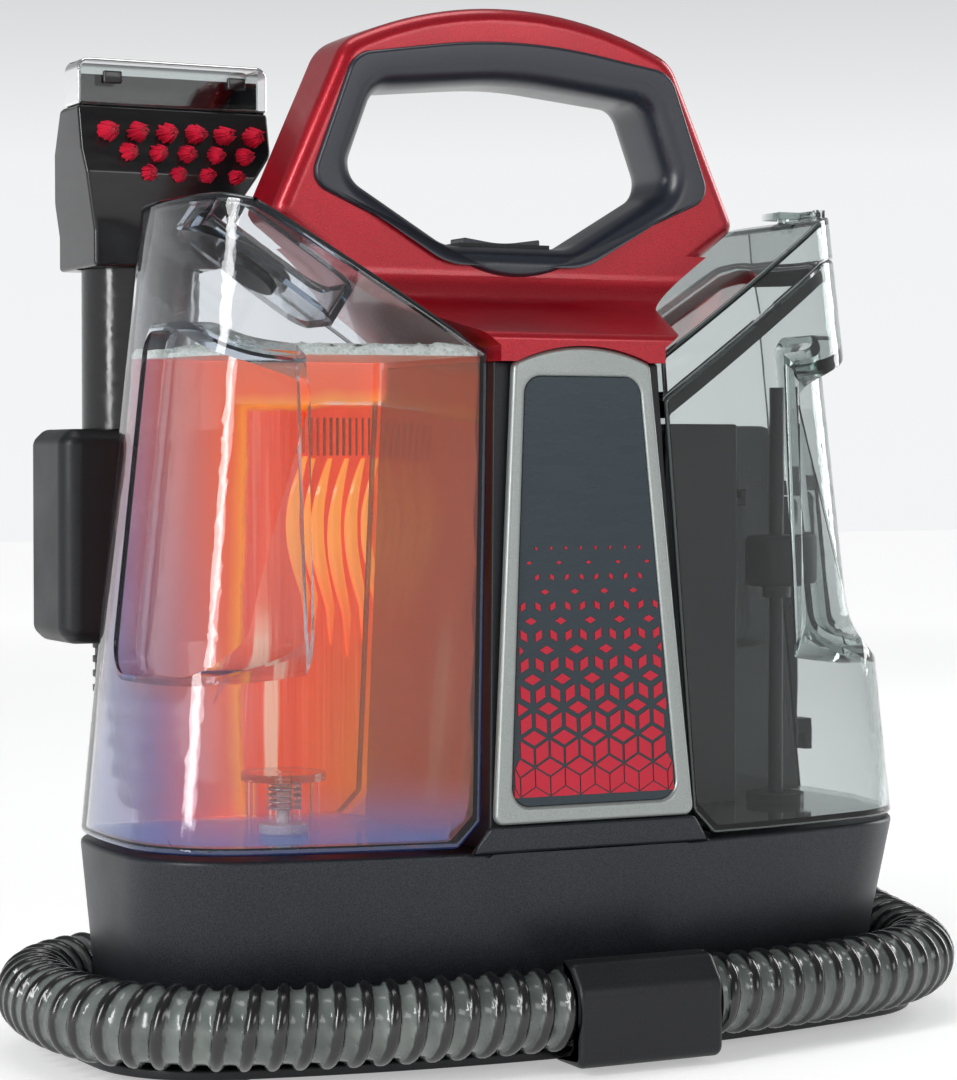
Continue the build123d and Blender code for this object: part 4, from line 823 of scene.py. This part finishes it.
TILE_EDGE = 0.0062
TILE_RISE = 0.00025
TILE_LIFT = 0.00002
TILE_COLUMNS = 5
SMALLEST_SHARE = 0.06
SMALLEST_TILE = 0.0008
PANEL_MARGIN = 0.003
PANEL_HALF_WIDTHS = (0.0292, 0.0200)
TILE_SHARES = ((0.62, 0.10), (0.45, 0.34), (0.25, 0.62), (0.10, 0.86), (0.0, 0.97))


def tile_share(height):
    """How much of its cell a tile fills, by height up the panel from 0 to 1."""
    if height >= TILE_SHARES[0][0]:
        return 0.0
    for (high, small), (low, large) in zip(TILE_SHARES, TILE_SHARES[1:]):
        if height >= low:
            return small + (large - small) * (high - height) / (high - low)
    return TILE_SHARES[-1][1]


def panel_half_width(height):
    """Half width of the insert inside its rim, by height from 0 to 1."""
    bottom, top = PANEL_HALF_WIDTHS
    return bottom - (bottom - top) * height


def make_tiles():
    """Raised lozenges on the insert, growing from dots above to full tiles below."""
    centre, right, up, normal = front_plane("front_insert")
    low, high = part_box("front_insert")
    tall = (high.z - low.z) / up.z
    width = math.sqrt(3) * TILE_EDGE
    vertices, faces = [], []
    rows = int(tall / (1.5 * TILE_EDGE)) + 2
    for row in range(rows):
        base_v = -tall / 2 + row * 1.5 * TILE_EDGE
        shift = width / 2 if row % 2 else 0
        for column in range(-TILE_COLUMNS, TILE_COLUMNS + 1):
            hub = Vector((column * width + shift, base_v))
            for turn in range(3):
                add_tile(vertices, faces, hub, turn, tall, (centre, right, up, normal))
    new_piece("panel_tiles", vertices, faces, "tile_red", "root", "insert_panel", smooth=False)


def add_tile(vertices, faces, hub, turn, tall, plane):
    """One lozenge of the three round a hub, shrunk by its height up the panel."""
    centre, right, up, normal = plane
    start = math.radians(90 + 120 * turn)
    corners = []
    for step, reach in ((0, 0.0), (-60, 1.0), (0, 0.0), (60, 1.0)):
        angle = start + math.radians(step)
        corners.append(Vector((math.cos(angle), math.sin(angle))) * TILE_EDGE * reach)
    corners[2] = corners[1] + corners[3]
    middle = corners[2] / 2
    height = (hub.y + middle.y + tall / 2) / tall
    share = tile_share(height)
    if share < SMALLEST_SHARE:
        return
    points = [hub + middle + (corner - middle) * share for corner in corners]
    edge = panel_half_width(height)
    bottom = -tall / 2 + PANEL_MARGIN
    if any(abs(p.x) > edge or p.y < bottom for p in points):
        points = [Vector((max(-edge, min(edge, p.x)), max(bottom, p.y))) for p in points]
        across = max(p.x for p in points) - min(p.x for p in points)
        along = max(p.y for p in points) - min(p.y for p in points)
        if across < SMALLEST_TILE or along < SMALLEST_TILE:
            return
    first = len(vertices)
    for lift in (0.0, TILE_RISE):
        for p in points:
            vertices.append(centre + right * p.x + up * p.y + normal * (lift + TILE_LIFT))
    faces.append((first + 4, first + 5, first + 6, first + 7))
    for i in range(4):
        k = (i + 1) % 4
        faces.append((first + i, first + k, first + 4 + k, first + 4 + i))


# ---------------------------------------------------------------- handle
GRIP_ROUNDINGS = ((0.0014, 0.0018), (0.0070, 0.0110))
GRIP_SPOKES = 420
GRIP_STEPS = 9


def make_grip():
    """Soft ring inside the handle, softly rounded towards the hand and tight against the shell."""
    low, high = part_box("grip_ring")
    centre = Vector((0, (low.z + high.z) / 2))
    loops = [sampled_by_angle(loop, centre, GRIP_SPOKES) for loop in face_loops("grip_ring", 1, low.y)[:2]]
    rounded_ring("grip_ring_soft", loops, high.y - low.y, GRIP_ROUNDINGS, "soft_grip", "root",
                 ("grip_ring",), GRIP_STEPS)


# ---------------------------------------------------------------- water in the clean tank
WATER_TOP = 0.2275
WATER_LEVELS = 28
TANK_FLOOR = 0.0030
WATER_GAP = 0.0004
WATER_SPOKES = 180
SECTION_SHIFT = 0.000013
FARTHEST_WALL = 0.12
WATER_CENTRE = (-0.083, -0.012)
FOAM_LAYERS = ((0.0001, 0.0), (0.0016, 0.0), (0.0030, 0.001), (0.0036, 0.004))
FOAM_UNEVEN = (0.75, 1.25)


def section_segments(node, height):
    """Line segments where a node's mesh crosses a level plane."""
    mesh = frame["nodes"][node].data
    segments = []
    for polygon in mesh.polygons:
        corners = [mesh.vertices[i].co for i in polygon.vertices]
        cuts = []
        for here, ahead in zip(corners, corners[1:] + corners[:1]):
            if (here.z - height) * (ahead.z - height) < 0:
                share = (height - here.z) / (ahead.z - here.z)
                cuts.append(here.lerp(ahead, share))
        if len(cuts) == 2:
            segments.append((cuts[0].xy, cuts[1].xy))
    return segments


def nearest_wall(segments, centre, direction):
    """Distance from a point inside to the first wall in a direction, or a metre where there is none."""
    nearest = 1.0
    for start, end in segments:
        run = end - start
        cross = direction.cross(run)
        if abs(cross) < 1e-12:
            continue
        gap = start - centre
        along = gap.cross(run) / cross
        share = gap.cross(direction) / cross
        if along > 0 and -1e-6 <= share <= 1 + 1e-6:
            nearest = min(nearest, along)
    return nearest


def cavity_ring(node, height, gap):
    """The inner wall of a tank at one height, drawn in by gap; a missed wall takes the reach before it."""
    segments = section_segments(node, height + SECTION_SHIFT)
    centre = Vector(WATER_CENTRE)
    ring = []
    last_reach = 0.0
    for i in range(WATER_SPOKES):
        angle = math.tau * i / WATER_SPOKES
        direction = Vector((math.cos(angle), math.sin(angle)))
        reach = nearest_wall(segments, centre, direction)
        if reach > FARTHEST_WALL:
            reach = last_reach
        last_reach = reach
        inner = centre + direction * (reach - gap)
        ring.append(Vector((inner.x, inner.y, height)))
    return ring


def make_water():
    """Warm water that fills the clean tank up to its level."""
    low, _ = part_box("clean_tank")
    bottom = low.z + TANK_FLOOR
    rings = []
    for i in range(WATER_LEVELS + 1):
        height = bottom + (WATER_TOP - bottom) * i / WATER_LEVELS
        rings.append(cavity_ring("clean_tank", height, WATER_GAP))
    stacked_piece("warm_water", [rings], "warm_water", "clean_tank_body", "clear_plastic")


def make_foam():
    """Thin line of foam floating on the water."""
    random.seed(SEED)
    rings = []
    base = cavity_ring("clean_tank", WATER_TOP, WATER_GAP)
    centre = Vector((*WATER_CENTRE, 0))
    for height, inset in FOAM_LAYERS:
        ring = []
        for p in base:
            inward = (centre - Vector((p.x, p.y, 0))).normalized() * inset
            lift = height * random.uniform(*FOAM_UNEVEN) if height > FOAM_LAYERS[0][0] else height
            ring.append(p + inward + Vector((0, 0, lift)))
        rings.append(ring)
    stacked_piece("water_foam", [rings], "foam", "clean_tank_body", "clear_plastic")


# ---------------------------------------------------------------- heat ribs, brush tufts and window parts
WAVE_COUNT = 5
WAVE_STEPS = 36
WAVE_PITCH = 0.0062
WAVE_START = 0.0315
WAVE_DROP = 0.0185
WAVE_LENGTH = 0.068
WAVE_SHORTER = 0.004
WAVE_SWAY = 0.0055
WAVE_HALF_WIDTH = 0.0024
WAVE_TIP = 0.0001
WAVE_SINK = 0.0001
WAVE_SECTION = ((-1, 0.0), (-0.5, 0.0009), (0.5, 0.0009), (1, 0.0))
HAIRS_PER_TUFT = 120
TUFT_RADIUS = 0.0037
HAIR_WIDTH = 0.00042
HAIR_SPREAD = 0.0004
HAIR_SIDES = 4
HAIR_TAPER = ((0.0, 1.0), (0.6, 0.8), (1.0, 0.35))
HAIR_GATHER = (0.25, 0.55)
HAIR_LENGTHS = (0.86, 1.0)


def make_heat_waves():
    """Wavy relief ribs on the heater cover, below its vents, the middle one longest."""
    waves = []
    for number in range(WAVE_COUNT):
        start_x = HEATER_HIGH.x - WAVE_START + number * WAVE_PITCH
        length = WAVE_LENGTH - WAVE_SHORTER * abs(number - WAVE_COUNT // 2)
        rings = []
        for i in range(WAVE_STEPS + 1):
            share = i / WAVE_STEPS
            z = HEATER_HIGH.z - WAVE_DROP - share * length
            x = start_x - WAVE_SWAY * math.sin(math.pi * min(1.0, share * 1.25)) * (1 - 0.3 * share)
            half = WAVE_HALF_WIDTH * math.sin(math.pi * min(1.0, 0.06 + share * 0.94)) ** 0.7 + WAVE_TIP
            y = HEATER_LOW.y - WAVE_SINK
            rings.append([(x + half * side, y - rise, z) for side, rise in WAVE_SECTION])
        waves.append(rings)
    stacked_piece("heat_ribs", waves, "heat_wave", "root", "heater_red")


def tuft_places():
    """Root of each bristle tuft, from the separate rods of the CAD node."""
    work = bmesh.new()
    work.from_mesh(frame["nodes"]["bristle_tufts"].data)
    bmesh.ops.remove_doubles(work, verts=work.verts, dist=0.00001)
    places = []
    left = set(work.verts)
    while left:
        island, queue = [], [left.pop()]
        while queue:
            here = queue.pop()
            island.append(here.co.copy())
            for edge in here.link_edges:
                there = edge.other_vert(here)
                if there in left:
                    left.remove(there)
                    queue.append(there)
        count = len(island)
        x = sum(p.x for p in island) / count
        z = sum(p.z for p in island) / count
        places.append(Vector((x, max(p.y for p in island), z)))
    work.free()
    return sorted(places, key=lambda p: (round(p.z, 4), p.x))


def hair(base, tip):
    """Rings of one tapered hair."""
    rings = []
    for share, taper in HAIR_TAPER:
        middle = base.lerp(tip, share)
        ring = []
        for turn in range(HAIR_SIDES):
            angle = math.tau * turn / HAIR_SIDES
            ring.append(middle + Vector((math.cos(angle), 0, math.sin(angle))) * (HAIR_WIDTH * taper))
        rings.append(ring)
    return rings


def make_tufts():
    """Tapered hairs gathered in conical tufts."""
    rng = random.Random(SEED)
    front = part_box("bristle_tufts")[0].y
    hairs = []
    for root in tuft_places():
        length = root.y - front
        for _ in range(HAIRS_PER_TUFT):
            angle = rng.uniform(0, math.tau)
            reach = TUFT_RADIUS * math.sqrt(rng.random())
            across = Vector((math.cos(angle), 0, math.sin(angle)))
            base = root + across * reach
            tip = root + across * reach * rng.uniform(*HAIR_GATHER)
            tip += Vector((rng.uniform(-HAIR_SPREAD, HAIR_SPREAD), -length * rng.uniform(*HAIR_LENGTHS),
                           rng.uniform(-HAIR_SPREAD, HAIR_SPREAD)))
            hairs.append(hair(base, tip))
    stacked_piece("brush_hairs", hairs, "bristle_red", BODY_OF["bristle_tufts"], replaces=("bristle_tufts",))


CATCH_SIZE = Vector((0.0064, 0.0022, 0.0042))
CATCH_INSET = 0.012
CATCH_DROP = 0.0065
CATCH_SINK = 0.0008
CATCH_ROUNDING = 0.0005
WINDOW_WALL = 0.0022
LIP_THICKNESS = 0.0012
LIP_SINK = 0.0005
LIP_DROP = 0.0052
LIP_OFFSET = 0.0008
LIP_GAP = 0.0003
LIP_ROUNDING = 0.0004


def rounded_blocks(name, size, places, rounding, body):
    """Glossy black blocks of one size, centred on places, with rounded edges."""
    work = bmesh.new()
    for place in places:
        made = bmesh.ops.create_cube(work, size=1.0)["verts"]
        bmesh.ops.scale(work, vec=size, verts=made)
        bmesh.ops.translate(work, vec=place, verts=made)
    bmesh.ops.bevel(work, geom=list(work.edges), offset=rounding, segments=3, profile=0.5, affect="EDGES")
    work.verts.index_update()
    vertices = [tuple(v.co) for v in work.verts]
    faces = [[v.index for v in face.verts] for face in work.faces]
    work.free()
    new_piece(name, vertices, faces, "black_gloss", body)


def make_catches():
    """Two small black catches that hold the window to the tool."""
    low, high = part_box("nozzle_window")
    across = (low.x + CATCH_INSET, high.x - CATCH_INSET)
    places = [(x, low.y - CATCH_SINK, high.z - CATCH_DROP) for x in across]
    rounded_blocks("window_catches", CATCH_SIZE, places, CATCH_ROUNDING, BODY_OF["nozzle_window"])


def make_nozzle_lip():
    """Black lip of the tool that stands up just inside the clear window."""
    low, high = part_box("nozzle_window")
    bottom = low.z - LIP_SINK
    top = high.z - LIP_DROP
    size = Vector((high.x - low.x - 2 * (WINDOW_WALL + LIP_GAP), LIP_THICKNESS, top - bottom))
    place = ((low.x + high.x) / 2, low.y + WINDOW_WALL + LIP_OFFSET, (top + bottom) / 2)
    rounded_blocks("nozzle_lip", size, [place], LIP_ROUNDING, BODY_OF["spot_tool"])


# ---------------------------------------------------------------- assembly
make_camera()
make_studio()
make_floor(floor_paint())
make_hose()

for node in ("handle_front_shell", "handle_rear_shell"):
    rounded(node, 0)
make_grip()
rounded("front_bezel", 0.0016, segments=4)
rounded("front_insert", 0.0003)
rounded("base_shroud", 0.0016)
rounded("hose_clip", 0.0022, segments=4)
rounded("front_tower", 0.0008)
rounded("clean_tank", 0.0021, segments=4, edge_material="clear_edge", where=off_thin_walls)
rounded("dirty_tank", 0.0010, edge_material="smoke_edge")
rounded("dirty_tank_lid", 0.0010, edge_material="smoke_edge")
rounded("rear_housing", 0.0010)
rounded("rear_cover", 0.0008)
rounded("wand_holder", 0.0016)
rounded("wand_body", 0.0008)
rounded("spot_tool", 0.0014)
rounded("nozzle_window", 0.0012, "window_plastic")
rounded("heater_cover", 0.0010, where=off_vents)
rounded("separator_duct", 0.0008)
rounded("base_pan", 0.0010)
rounded("fill_cap", 0.0006)
make_tiles()
make_water()
make_foam()
make_heat_waves()
make_tufts()
make_catches()
make_nozzle_lip()

for node, item in frame["nodes"].items():
    for index in range(len(item.data.materials)):
        item.data.materials[index] = MATERIALS[SLOT_OF[node]]
